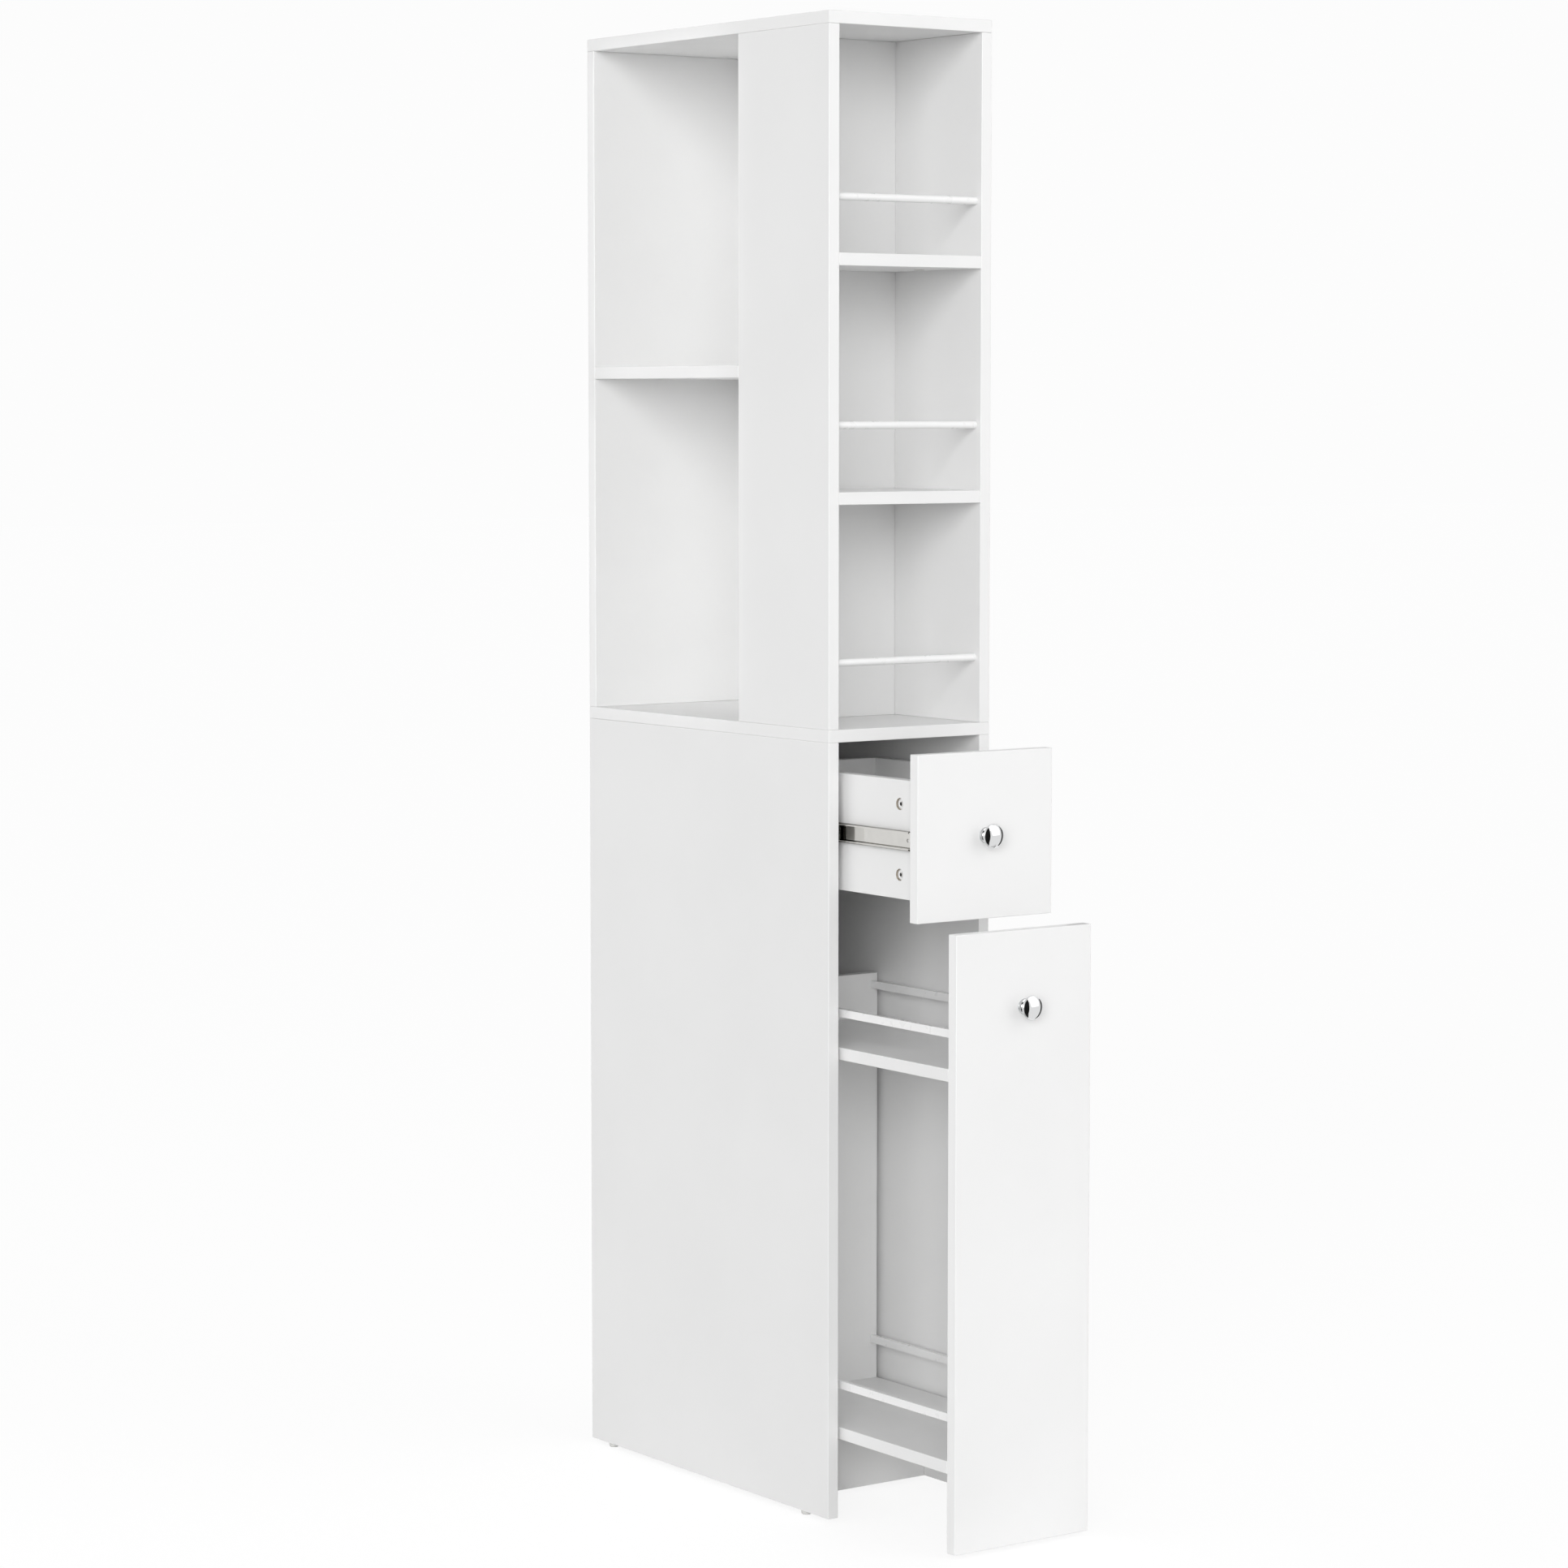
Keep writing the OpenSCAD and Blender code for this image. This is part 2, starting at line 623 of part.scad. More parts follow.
module drawer_slide_middle(side) color(steel) slid(-drawer_stage_1) at_drawer_slide(side) slide_middle();
module drawer_slide_middle_left() drawer_slide_middle(0);
module drawer_slide_middle_right() drawer_slide_middle(1);

module drawer_outer_cages() color(zinc) slid(cage_closed_y - drawer_stage_1 / 2)
    for (side = [0, 1]) at_drawer_slide(side) outer_cage();

module drawer_inner_cages() color(zinc) slid(cage_closed_y - drawer_stage_1 - drawer_stage_2 / 2)
    for (side = [0, 1]) at_drawer_slide(side) inner_cage();

module pullout_slide_middle(side) color(steel) slid(-pullout_stage_1) at_pullout_slide(side) slide_middle();
module pullout_slide_middle_left() pullout_slide_middle(0);
module pullout_slide_middle_right() pullout_slide_middle(1);

module pullout_outer_cages() color(zinc) slid(cage_closed_y - pullout_stage_1 / 2)
    for (side = [0, 1]) at_pullout_slide(side) outer_cage();

module pullout_inner_cages() color(zinc) slid(cage_closed_y - pullout_stage_1 - pullout_stage_2 / 2)
    for (side = [0, 1]) at_pullout_slide(side) inner_cage();

// ---- Drawer ----

module drawer_joinery() {
    dowel_holes(drawer_dowel_joints);
    cam_holes(drawer_cam_joints);
    drawer_bottom_solid(fit);
}

module drawer_bottom_solid(gap = 0) {
    slack = gap > 0 ? end_gap : 0;
    panel(
        [drawer_x0 + board_t - groove_depth - slack, board_t - groove_depth - slack, drawer_bottom_z - gap],
        [drawer_x1 - board_t + groove_depth + slack, drawer_back_y + groove_depth + slack,
            drawer_bottom_z + drawer_bottom_t + gap]
    );
}

module drawer_front() color(melamine) slid(drawer_shift) difference() {
    panel([front_x0, 0, drawer_front_z0], [front_x1, board_t, drawer_front_z1]);
    drawer_joinery();
    at_drawer_knob() knob_screw(fit);
}

module drawer_side(side) color(melamine) slid(drawer_shift) difference() {
    x0 = side == 0 ? drawer_x0 : drawer_x1 - board_t;
    panel([x0, board_t, drawer_z0], [x0 + board_t, board_t + drawer_side_l, drawer_z0 + drawer_side_h]);
    drawer_joinery();
    at_drawer_slide(side) inner_screw_holes();
}
module drawer_left_side() drawer_side(0);
module drawer_right_side() drawer_side(1);

module drawer_back() color(melamine) slid(drawer_shift) difference() {
    panel([drawer_x0 + board_t, drawer_back_y, drawer_z0],
        [drawer_x1 - board_t, drawer_back_y + board_t, drawer_z0 + drawer_side_h]);
    drawer_joinery();
}

module drawer_bottom() color(melamine) slid(drawer_shift) drawer_bottom_solid();
module drawer_dowels() color(beech) slid(drawer_shift) dowel_set(drawer_dowel_joints);
module drawer_cam_fittings() color(zinc) slid(drawer_shift) cam_set(drawer_cam_joints);
module drawer_slide_inner_left() color(steel) slid(drawer_shift) at_drawer_slide(0) slide_inner();
module drawer_slide_inner_right() color(steel) slid(drawer_shift) at_drawer_slide(1) slide_inner();
module drawer_slide_screws() color(steel) slid(drawer_shift)
    for (side = [0, 1]) at_drawer_slide(side) inner_screws();

// ---- Knobs: drawn with the panel's front face at Z = 0 and the head along +Z ----

knob_rim_z = knob_l * 0.68;
knob_rim_h = 1.6;
knob_steps = 10;
// Hollow curve from the foot to the neck, then the flare from the neck to the rim
knob_side = [
    for (i = [0 : knob_steps]) let (a = 90 * i / knob_steps)
        [knob_neck_d / 2 + (knob_base_d - knob_neck_d) / 2 * (1 - sin(a)),
            1.8 + (knob_rim_z * 0.5 - 1.8) * (1 - cos(a))],
    for (i = [1 : knob_steps]) let (a = 90 * i / knob_steps)
        [knob_neck_d / 2 + (knob_d - knob_neck_d) / 2 * (1 - cos(a)), knob_rim_z * (0.5 + 0.5 * sin(a))]
];
// Domed face inside the rim
knob_face = [
    for (i = [0 : knob_steps]) let (a = 90 * i / knob_steps, r = knob_d / 2 - 1)
        [r * cos(a), knob_rim_z + knob_rim_h + (knob_l - knob_rim_z - knob_rim_h) * sin(a)]
];

module knob() difference() {
    rotate_extrude() polygon(concat(
        [[0, 0], [knob_base_d / 2 - 0.4, 0], [knob_base_d / 2, 0.4]], knob_side,
        [[knob_d / 2, knob_rim_z + knob_rim_h * 0.7], [knob_d / 2 - 0.6, knob_rim_z + knob_rim_h]], knob_face
    ));
    translate([0, 0, -cut]) cylinder(d = knob_screw_d + 2 * fit, h = knob_thread + end_gap + cut);
}

knob_thread = knob_l * 0.5;
knob_screw_head = 2.4;

module knob_screw(gap = 0) {
    slack = gap > 0 ? cut : 0;
    translate([0, 0, -board_t - slack])
        cylinder(d = knob_screw_d + 2 * gap, h = board_t + knob_thread + slack);
    if (gap == 0) translate([0, 0, -board_t - knob_screw_head]) difference() {
        cylinder(d = 2.1 * knob_screw_d, h = knob_screw_head);
        for (angle = [0, 90]) rotate([0, 0, angle]) translate([-2.2, -0.5, -cut]) cube([4.4, 1, cut + 1.4]);
    }
}

module at_drawer_knob() translate([case_w / 2, 0, (drawer_front_z0 + drawer_front_z1) / 2])
    rotate([90, 0, 0]) children();
module at_pullout_knob() translate([case_w / 2, 0, pullout_front_z1 - pullout_knob_drop])
    rotate([90, 0, 0]) children();

module drawer_knob() color(chrome) slid(drawer_shift) at_drawer_knob() knob();
module drawer_knob_screw() color(zinc) slid(drawer_shift) at_drawer_knob() knob_screw();
module pullout_knob() color(chrome) slid(pullout_shift) at_pullout_knob() knob();
module pullout_knob_screw() color(zinc) slid(pullout_shift) at_pullout_knob() knob_screw();

// ---- Pull-out ----

module pullout_joinery() {
    dowel_holes(pullout_dowel_joints);
    cam_holes(pullout_cam_joints);
}

gallery_level_lower = bottom_shelf_z1 + gallery_rise_lower;
gallery_level_upper = middle_shelf_z0 + board_t + gallery_rise_upper;

module gallery_rail(side, level, gap = 0) {
    slack = gap > 0 ? end_gap : 0;
    x0 = side == 0 ? front_x0 + gallery_inset : front_x1 - gallery_inset - gallery_t;
    panel([x0 - gap, board_t - gallery_seat - slack, level - gallery_h / 2 - gap],
        [x0 + gallery_t + gap, pullout_back_y + gallery_seat + slack, level + gallery_h / 2 + gap]);
}

module gallery_mortises() for (side = [0, 1]) for (level = [gallery_level_lower, gallery_level_upper])
    gallery_rail(side, level, fit);

module pullout_front() color(melamine) slid(pullout_shift) difference() {
    panel([front_x0, 0, glide_h], [front_x1, board_t, pullout_front_z1]);
    pullout_joinery();
    gallery_mortises();
    at_pullout_knob() knob_screw(fit);
}

module pullout_back() color(melamine) slid(pullout_shift) difference() {
    panel([front_x0, pullout_back_y, pullout_base_z],
        [front_x1, pullout_back_y + board_t, pullout_base_z + pullout_back_h]);
    pullout_joinery();
    gallery_mortises();
}

module pullout_shelf(z0) color(melamine) slid(pullout_shift) difference() {
    panel([front_x0, board_t, z0], [front_x1, pullout_back_y, z0 + board_t]);
    pullout_joinery();
    for (side = [0, 1]) at_pullout_slide(side) inner_screw_holes();
}
module pullout_bottom_shelf() pullout_shelf(pullout_base_z);
module pullout_middle_shelf() pullout_shelf(middle_shelf_z0);

module gallery(side, level) color(lacquer) slid(pullout_shift) gallery_rail(side, level);
module gallery_rail_lower_left() gallery(0, gallery_level_lower);
module gallery_rail_lower_right() gallery(1, gallery_level_lower);
module gallery_rail_upper_left() gallery(0, gallery_level_upper);
module gallery_rail_upper_right() gallery(1, gallery_level_upper);

module pullout_dowels() color(beech) slid(pullout_shift) dowel_set(pullout_dowel_joints);
module pullout_cam_fittings() color(zinc) slid(pullout_shift) cam_set(pullout_cam_joints);
module pullout_slide_inner_left() color(steel) slid(pullout_shift) at_pullout_slide(0) slide_inner();
module pullout_slide_inner_right() color(steel) slid(pullout_shift) at_pullout_slide(1) slide_inner();
module pullout_slide_screws() color(steel) slid(pullout_shift)
    for (side = [0, 1]) at_pullout_slide(side) inner_screws();

// ---- One line for each node ----

case_frame() {
    top_panel();
    upper_right_side();
    upper_left_strip();
    upper_back_panel();
    partition();
    front_shelf_upper();
    front_shelf_lower();
    side_shelf();
    bottle_rail_top();
    bottle_rail_middle();
    bottle_rail_bottom();
    middle_board();
    lower_left_side();
    lower_right_side();
    lower_back_panel();
    plinth_rail();
    rear_rail();
    glide_feet();
    case_dowels();
    case_cam_fittings();
    case_slide_screws();
    drawer_slide_outer_left();
    drawer_slide_outer_right();
    pullout_slide_outer_left();
    pullout_slide_outer_right();
    drawer_slide_middle_left();
    drawer_slide_middle_right();
    drawer_outer_cages();
    drawer_inner_cages();
    drawer_front();
    drawer_left_side();
    drawer_right_side();
    drawer_back();
    drawer_bottom();
    drawer_slide_inner_left();
    drawer_slide_inner_right();
    drawer_slide_screws();
    drawer_cam_fittings();
    drawer_dowels();
    drawer_knob();
    drawer_knob_screw();
    pullout_slide_middle_left();
    pullout_slide_middle_right();
    pullout_outer_cages();
    pullout_inner_cages();
    pullout_front();
    pullout_back();
    pullout_bottom_shelf();
    pullout_middle_shelf();
    gallery_rail_lower_left();
    gallery_rail_lower_right();
    gallery_rail_upper_left();
    gallery_rail_upper_right();
    pullout_slide_inner_left();
    pullout_slide_inner_right();
    pullout_slide_screws();
    pullout_cam_fittings();
    pullout_dowels();
    pullout_knob();
    pullout_knob_screw();
}
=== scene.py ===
"""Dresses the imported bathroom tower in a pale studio: boards, rails, slides, fittings and knobs."""

import json
import logging
import math
from dataclasses import dataclass
from enum import Enum

import bmesh
import bpy
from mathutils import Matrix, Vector

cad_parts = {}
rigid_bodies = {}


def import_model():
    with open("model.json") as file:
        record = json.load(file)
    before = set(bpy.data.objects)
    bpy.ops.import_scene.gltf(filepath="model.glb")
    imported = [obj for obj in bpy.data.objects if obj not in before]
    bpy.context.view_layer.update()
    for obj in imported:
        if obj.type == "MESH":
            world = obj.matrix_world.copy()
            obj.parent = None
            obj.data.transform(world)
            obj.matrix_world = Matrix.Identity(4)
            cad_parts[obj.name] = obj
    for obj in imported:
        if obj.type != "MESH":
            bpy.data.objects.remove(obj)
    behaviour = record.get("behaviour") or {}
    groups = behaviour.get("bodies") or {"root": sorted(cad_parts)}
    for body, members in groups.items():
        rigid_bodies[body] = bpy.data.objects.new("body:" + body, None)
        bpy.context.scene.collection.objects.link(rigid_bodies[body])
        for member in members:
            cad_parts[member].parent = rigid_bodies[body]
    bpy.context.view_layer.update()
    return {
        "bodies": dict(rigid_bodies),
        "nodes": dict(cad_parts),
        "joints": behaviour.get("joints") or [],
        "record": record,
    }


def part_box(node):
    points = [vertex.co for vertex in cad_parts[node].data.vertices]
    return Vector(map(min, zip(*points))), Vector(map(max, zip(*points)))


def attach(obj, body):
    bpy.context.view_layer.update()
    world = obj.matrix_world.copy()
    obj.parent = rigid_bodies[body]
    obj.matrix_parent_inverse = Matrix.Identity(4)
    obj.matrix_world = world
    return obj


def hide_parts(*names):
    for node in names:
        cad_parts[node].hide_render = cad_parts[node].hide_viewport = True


LOG = logging.getLogger("tower")
MM = 0.001

# Sockets of the colour mix node
MIX_FACTOR, MIX_FIRST, MIX_SECOND, MIX_RESULT = 0, 6, 7, 2
# Values between which nearly all of a noise pattern lies
NOISE_LOW, NOISE_HIGH = 0.32, 0.68
# Brightest value that a colour may reach
BRIGHTEST = 0.98
# Distance within which points are one
WELD = 0.001 * MM
# Spread in degrees of a softbox without a honeycomb
FULL_SPREAD = 180.0

Pair = tuple[float, float]
Point = tuple[float, float, float]
Scale = tuple[float, float, float]
Colour = tuple[float, float, float]


def grey(tone: float) -> tuple[float, float, float, float]:
    """Opaque grey of one tone."""
    return (tone, tone, tone, 1.0)


def evenly(cells: float) -> Scale:
    """Pattern scale that is the same in every direction."""
    return (cells, cells, cells)


def place(name: str, data: bpy.types.ID) -> bpy.types.Object:
    """Puts an object into the scene.

    Args:
        name: Name of the object.
        data: Its mesh, lamp or camera.

    Returns:
        The object.
    """
    thing = bpy.data.objects.new(name, data)
    bpy.context.scene.collection.objects.link(thing)
    return thing


def written(work: bmesh.types.BMesh, name: str) -> bpy.types.Mesh:
    """Writes a working mesh out as a mesh and frees it.

    Args:
        work: The working mesh.
        name: Name of the mesh.

    Returns:
        The mesh.
    """
    mesh = bpy.data.meshes.new(name)
    work.to_mesh(mesh)
    work.free()
    return mesh


class Run(Enum):
    """Direction in which a band, a rail or a rolled strip runs."""

    X = 0
    Y = 1
    Z = 2

    def stretch(self, along: float, across: float) -> Scale:
        """Pattern scale for a texture that is drawn out along this direction.

        Args:
            along: Cells per metre along the piece.
            across: Cells per metre across it.

        Returns:
            The scale on the three axes.
        """
        return tuple(along if axis == self.value else across for axis in range(3))


class Shader:
    """Adds and joins the nodes of one material."""

    def __init__(self, name: str) -> None:
        """Starts a material with a principled surface.

        Args:
            name: Name of the material.
        """
        self.material = bpy.data.materials.new(name)
        self.material.use_nodes = True
        self.tree = self.material.node_tree
        self.tree.nodes.clear()
        self.surface = self.add("ShaderNodeBsdfPrincipled")
        self.join(self.surface, "BSDF", self.add("ShaderNodeOutputMaterial"), "Surface")
        self.coordinates = self.add("ShaderNodeTexCoord")

    def add(self, kind: str, **values: object) -> bpy.types.Node:
        """Adds a node.

        Args:
            kind: Node type.
            **values: Input values by socket name, with underscores for spaces.

        Returns:
            The new node.
        """
        node = self.tree.nodes.new(kind)
        for key, value in values.items():
            node.inputs[key.replace("_", " ")].default_value = value
        return node

    def join(
        self, source: bpy.types.Node, output: str | int, target: bpy.types.Node, entry: str | int
    ) -> None:
        """Joins an output of one node to an input of another.

        Args:
            source: Node that gives the value.
            output: Name or number of its output.
            target: Node that takes the value.
            entry: Name or number of its input.
        """
        self.tree.links.new(source.outputs[output], target.inputs[entry])

    def noise(
        self, scale: Scale | float, detail: float = 2.0, roughness: float = 0.5
    ) -> bpy.types.Node:
        """Adds a noise pattern that stays on the piece.

        Args:
            scale: Cells per metre, on all axes or on each.
            detail: Number of finer layers.
            roughness: Strength of the finer layers.

        Returns:
            The noise node.
        """
        mapping = self.add("ShaderNodeMapping")
        mapping.inputs["Scale"].default_value = evenly(scale) if isinstance(scale, float) else scale
        self.join(self.coordinates, "Object", mapping, "Vector")
        pattern = self.add("ShaderNodeTexNoise", Scale=1.0, Detail=detail, Roughness=roughness)
        self.join(mapping, "Vector", pattern, "Vector")
        return pattern

    def spread(self, pattern: bpy.types.Node, low: float, high: float) -> bpy.types.Node:
        """Maps the middle of a pattern to a range of values.

        Args:
            pattern: Noise node.
            low: Value at the pattern's dark parts.
            high: Value at its light parts.

        Returns:
            The map range node.
        """
        span = self.add("ShaderNodeMapRange")
        span.inputs["From Min"].default_value = NOISE_LOW
        span.inputs["From Max"].default_value = NOISE_HIGH
        span.inputs["To Min"].default_value = low
        span.inputs["To Max"].default_value = high
        self.join(pattern, "Fac", span, "Value")
        return span

    def tint(self, pattern: bpy.types.Node, dark: Colour, light: Colour) -> bpy.types.Node:
        """Blends two colours by a pattern and feeds the base colour.

        Args:
            pattern: Noise node.
            dark: Colour at the pattern's dark parts.
            light: Colour at its light parts.

        Returns:
            The mix node.
        """
        mix = self.add("ShaderNodeMix")
        mix.data_type = "RGBA"
        mix.inputs[MIX_FIRST].default_value = (*dark, 1.0)
        mix.inputs[MIX_SECOND].default_value = (*light, 1.0)
        self.join(self.spread(pattern, 0.0, 1.0), "Result", mix, MIX_FACTOR)
        self.join(mix, MIX_RESULT, self.surface, "Base Color")
        return mix

    def gloss(self, pattern: bpy.types.Node, low: float, high: float) -> None:
        """Varies the roughness by a pattern.

        Args:
            pattern: Noise node.
            low: Lowest roughness.
            high: Highest roughness.
        """
        self.join(self.spread(pattern, low, high), "Result", self.surface, "Roughness")

    def relief(self, *layers: tuple[bpy.types.Node, float]) -> None:
        """Raises the surface by patterns, one over the other.

        Args:
            *layers: Noise nodes with their heights in metres.
        """
        below = None
        for pattern, height in layers:
            bump = self.add("ShaderNodeBump", Strength=1.0, Distance=height)
            self.join(pattern, "Fac", bump, "Height")
            if below is not None:
                self.join(below, "Normal", bump, "Normal")
            below = bump
        self.join(below, "Normal", self.surface, "Normal")


def shade(colour: Colour, factor: float) -> Colour:
    """Darker or lighter version of a colour.

    Args:
        colour: Linear red, green and blue.
        factor: Multiplier.

    Returns:
        The scaled colour, kept below pure white.
    """
    return tuple(min(BRIGHTEST, part * factor) for part in colour)


@dataclass(frozen=True)
class BoardFinish:
    """Melamine face of a board, with a faint pearl grain and a satin sheen."""

    name: str
    slot: str
    colour: Colour
    edge: Colour
    sheen: float = 0.4
    patches: float = 5.0
    drift: Pair = (0.985, 1.01)
    handling: Scale = (30.0, 30.0, 18.0)
    # Changes of the sheen between which handling takes it
    worn: Pair = (-0.05, 0.07)
    waves: float = 55.0
    wave_depth: float = 0.03 * MM
    pearl: float = 1.2 * MM
    pearl_depth: float = 0.012 * MM

    def material(self) -> bpy.types.Material:
        """Builds the laminate: drifting white, pearl grain and handling marks.

        Returns:
            The material.
        """
        shader = Shader(self.name)
        patches = shader.noise(self.patches, detail=3.0)
        shader.tint(patches, *(shade(self.colour, factor) for factor in self.drift))
        handling = shader.noise(self.handling, detail=5.0)
        shader.gloss(handling, *(self.sheen + change for change in self.worn))
        pearl = shader.noise(1.0 / self.pearl, detail=1.0)
        waves = shader.noise(self.waves, detail=2.0)
        shader.relief((waves, self.wave_depth), (pearl, self.pearl_depth))
        return shader.material


@dataclass(frozen=True)
class BandFinish:
    """Plastic edge band with the fine scrape lines that trimming leaves along it."""

    name: str
    slot: str
    run: Run
    colour: Colour
    patches: float = 9.0
    drift: Pair = (0.99, 1.01)
    lines: Pair = (25.0, 1600.0)
    roughness: Pair = (0.3, 0.4)
    depth: float = 0.01 * MM

    def material(self) -> bpy.types.Material:
        """Builds the band.

        Returns:
            The material.
        """
        shader = Shader(self.name)
        scrape = shader.noise(self.run.stretch(*self.lines), detail=2.0)
        patches = shader.noise(self.patches)
        shader.tint(patches, *(shade(self.colour, factor) for factor in self.drift))
        shader.gloss(scrape, *self.roughness)
        shader.relief((scrape, self.depth))
        return shader.material


@dataclass(frozen=True)
class LacquerFinish:
    """White lacquer on a rail, with a soft gloss."""

    name: str
    slot: str
    run: Run
    colour: Colour
    streaks: Pair = (6.0, 200.0)
    streak_tone: float = 0.985
    mist: float = 90.0
    roughness: Pair = (0.26, 0.36)
    coat: float = 0.35
    coat_roughness: float = 0.15
    waves: Pair = (12.0, 300.0)
    depth: float = 0.004 * MM

    def material(self) -> bpy.types.Material:
        """Builds the lacquer: a clear coat over slightly uneven white.

        Returns:
            The material.
        """
        shader = Shader(self.name)
        streaks = shader.noise(self.run.stretch(*self.streaks))
        shader.tint(streaks, shade(self.colour, self.streak_tone), self.colour)
        shader.gloss(shader.noise(self.mist, detail=3.0), *self.roughness)
        shader.surface.inputs["Coat Weight"].default_value = self.coat
        shader.surface.inputs["Coat Roughness"].default_value = self.coat_roughness
        shader.relief((shader.noise(self.run.stretch(*self.waves)), self.depth))
        return shader.material


@dataclass(frozen=True)
class MetalFinish:
    """Bare or plated metal with drawn or tumbled marks."""

    name: str
    slot: str
    colour: Colour
    roughness: Pair
    marks: Scale
    depth: float
    stain: float = 0.9
    patches: float = 70.0
    # Colour of the painted dark reflection and shade on the rolled flanges, if any
    painted_flange_shade: Colour | None = None
    web: Run = Run.X
    # Cosines to the web's direction between which the painted dark reflection and shade of the
    # flanges gives way to the plating
    turned: Pair = (0.35, 0.95)

    def material(self) -> bpy.types.Material:
        """Builds the metal: plating that drifts in tone, with fine marks in it.

        Returns:
            The material.
        """
        shader = Shader(self.name)
        shader.surface.inputs["Metallic"].default_value = 1.0
        patches = shader.noise(self.patches, detail=4.0)
        plating = shader.tint(patches, shade(self.colour, self.stain), self.colour)
        if self.painted_flange_shade:
            self.paint_flange_shade(shader, plating)
        marks = shader.noise(self.marks, detail=3.0)
        shader.gloss(marks, *self.roughness)
        if self.depth > 0:
            shader.relief((marks, self.depth))
        return shader.material

    def paint_flange_shade(self, shader: Shader, plating: bpy.types.Node) -> None:
        """Paints a dark reflection and shade on the rolled flanges, against the open web.

        Args:
            shader: The metal's nodes.
            plating: Node with the plating's colour.
        """
        parts = shader.add("ShaderNodeSeparateXYZ")
        shader.join(shader.coordinates, "Normal", parts, 0)
        facing = shader.add("ShaderNodeMath")
        facing.operation = "ABSOLUTE"
        shader.join(parts, self.web.value, facing, 0)
        open_web = shader.add("ShaderNodeMapRange")
        open_web.interpolation_type = "SMOOTHSTEP"
        for end, cosine in zip(("From Min", "From Max"), self.turned):
            open_web.inputs[end].default_value = cosine
        shader.join(facing, 0, open_web, "Value")
        mix = shader.add("ShaderNodeMix")
        mix.data_type = "RGBA"
        mix.inputs[MIX_FIRST].default_value = (*self.painted_flange_shade, 1.0)
        shader.join(open_web, "Result", mix, MIX_FACTOR)
        shader.join(plating, MIX_RESULT, mix, MIX_SECOND)
        shader.join(mix, MIX_RESULT, shader.surface, "Base Color")


@dataclass(frozen=True)
class PlainFinish:
    """Raw beech or moulded plastic: a coloured body with a drawn-out grain."""

    name: str
    slot: str
    dark: Colour
    light: Colour
    roughness: Pair
    grain: Scale
    depth: float

    def material(self) -> bpy.types.Material:
        """Builds the body colour and its grain.

        Returns:
            The material.
        """
        shader = Shader(self.name)
        grain = shader.noise(self.grain, detail=4.0, roughness=0.6)
        shader.tint(grain, self.dark, self.light)
        shader.gloss(grain, *self.roughness)
        shader.relief((grain, self.depth))
        return shader.material


Finish = BoardFinish | BandFinish | LacquerFinish | MetalFinish | PlainFinish

CASE_WHITE = (0.85, 0.85, 0.848)
BOX_WHITE = (0.87, 0.87, 0.868)
FRONT_WHITE = (0.91, 0.91, 0.908)
SLIDE_STEEL = (0.66, 0.65, 0.625)
# Painted dark reflection and shade on the slides' rolled flanges
FLANGE_PAINTED_SHADE = (0.2, 0.19, 0.17)
SLIDE_GLOSS = (0.06, 0.1)
SLIDE_LINES = Run.Y.stretch(along=9.0, across=700.0)
SLIDE_DEPTH = 0.0006 * MM


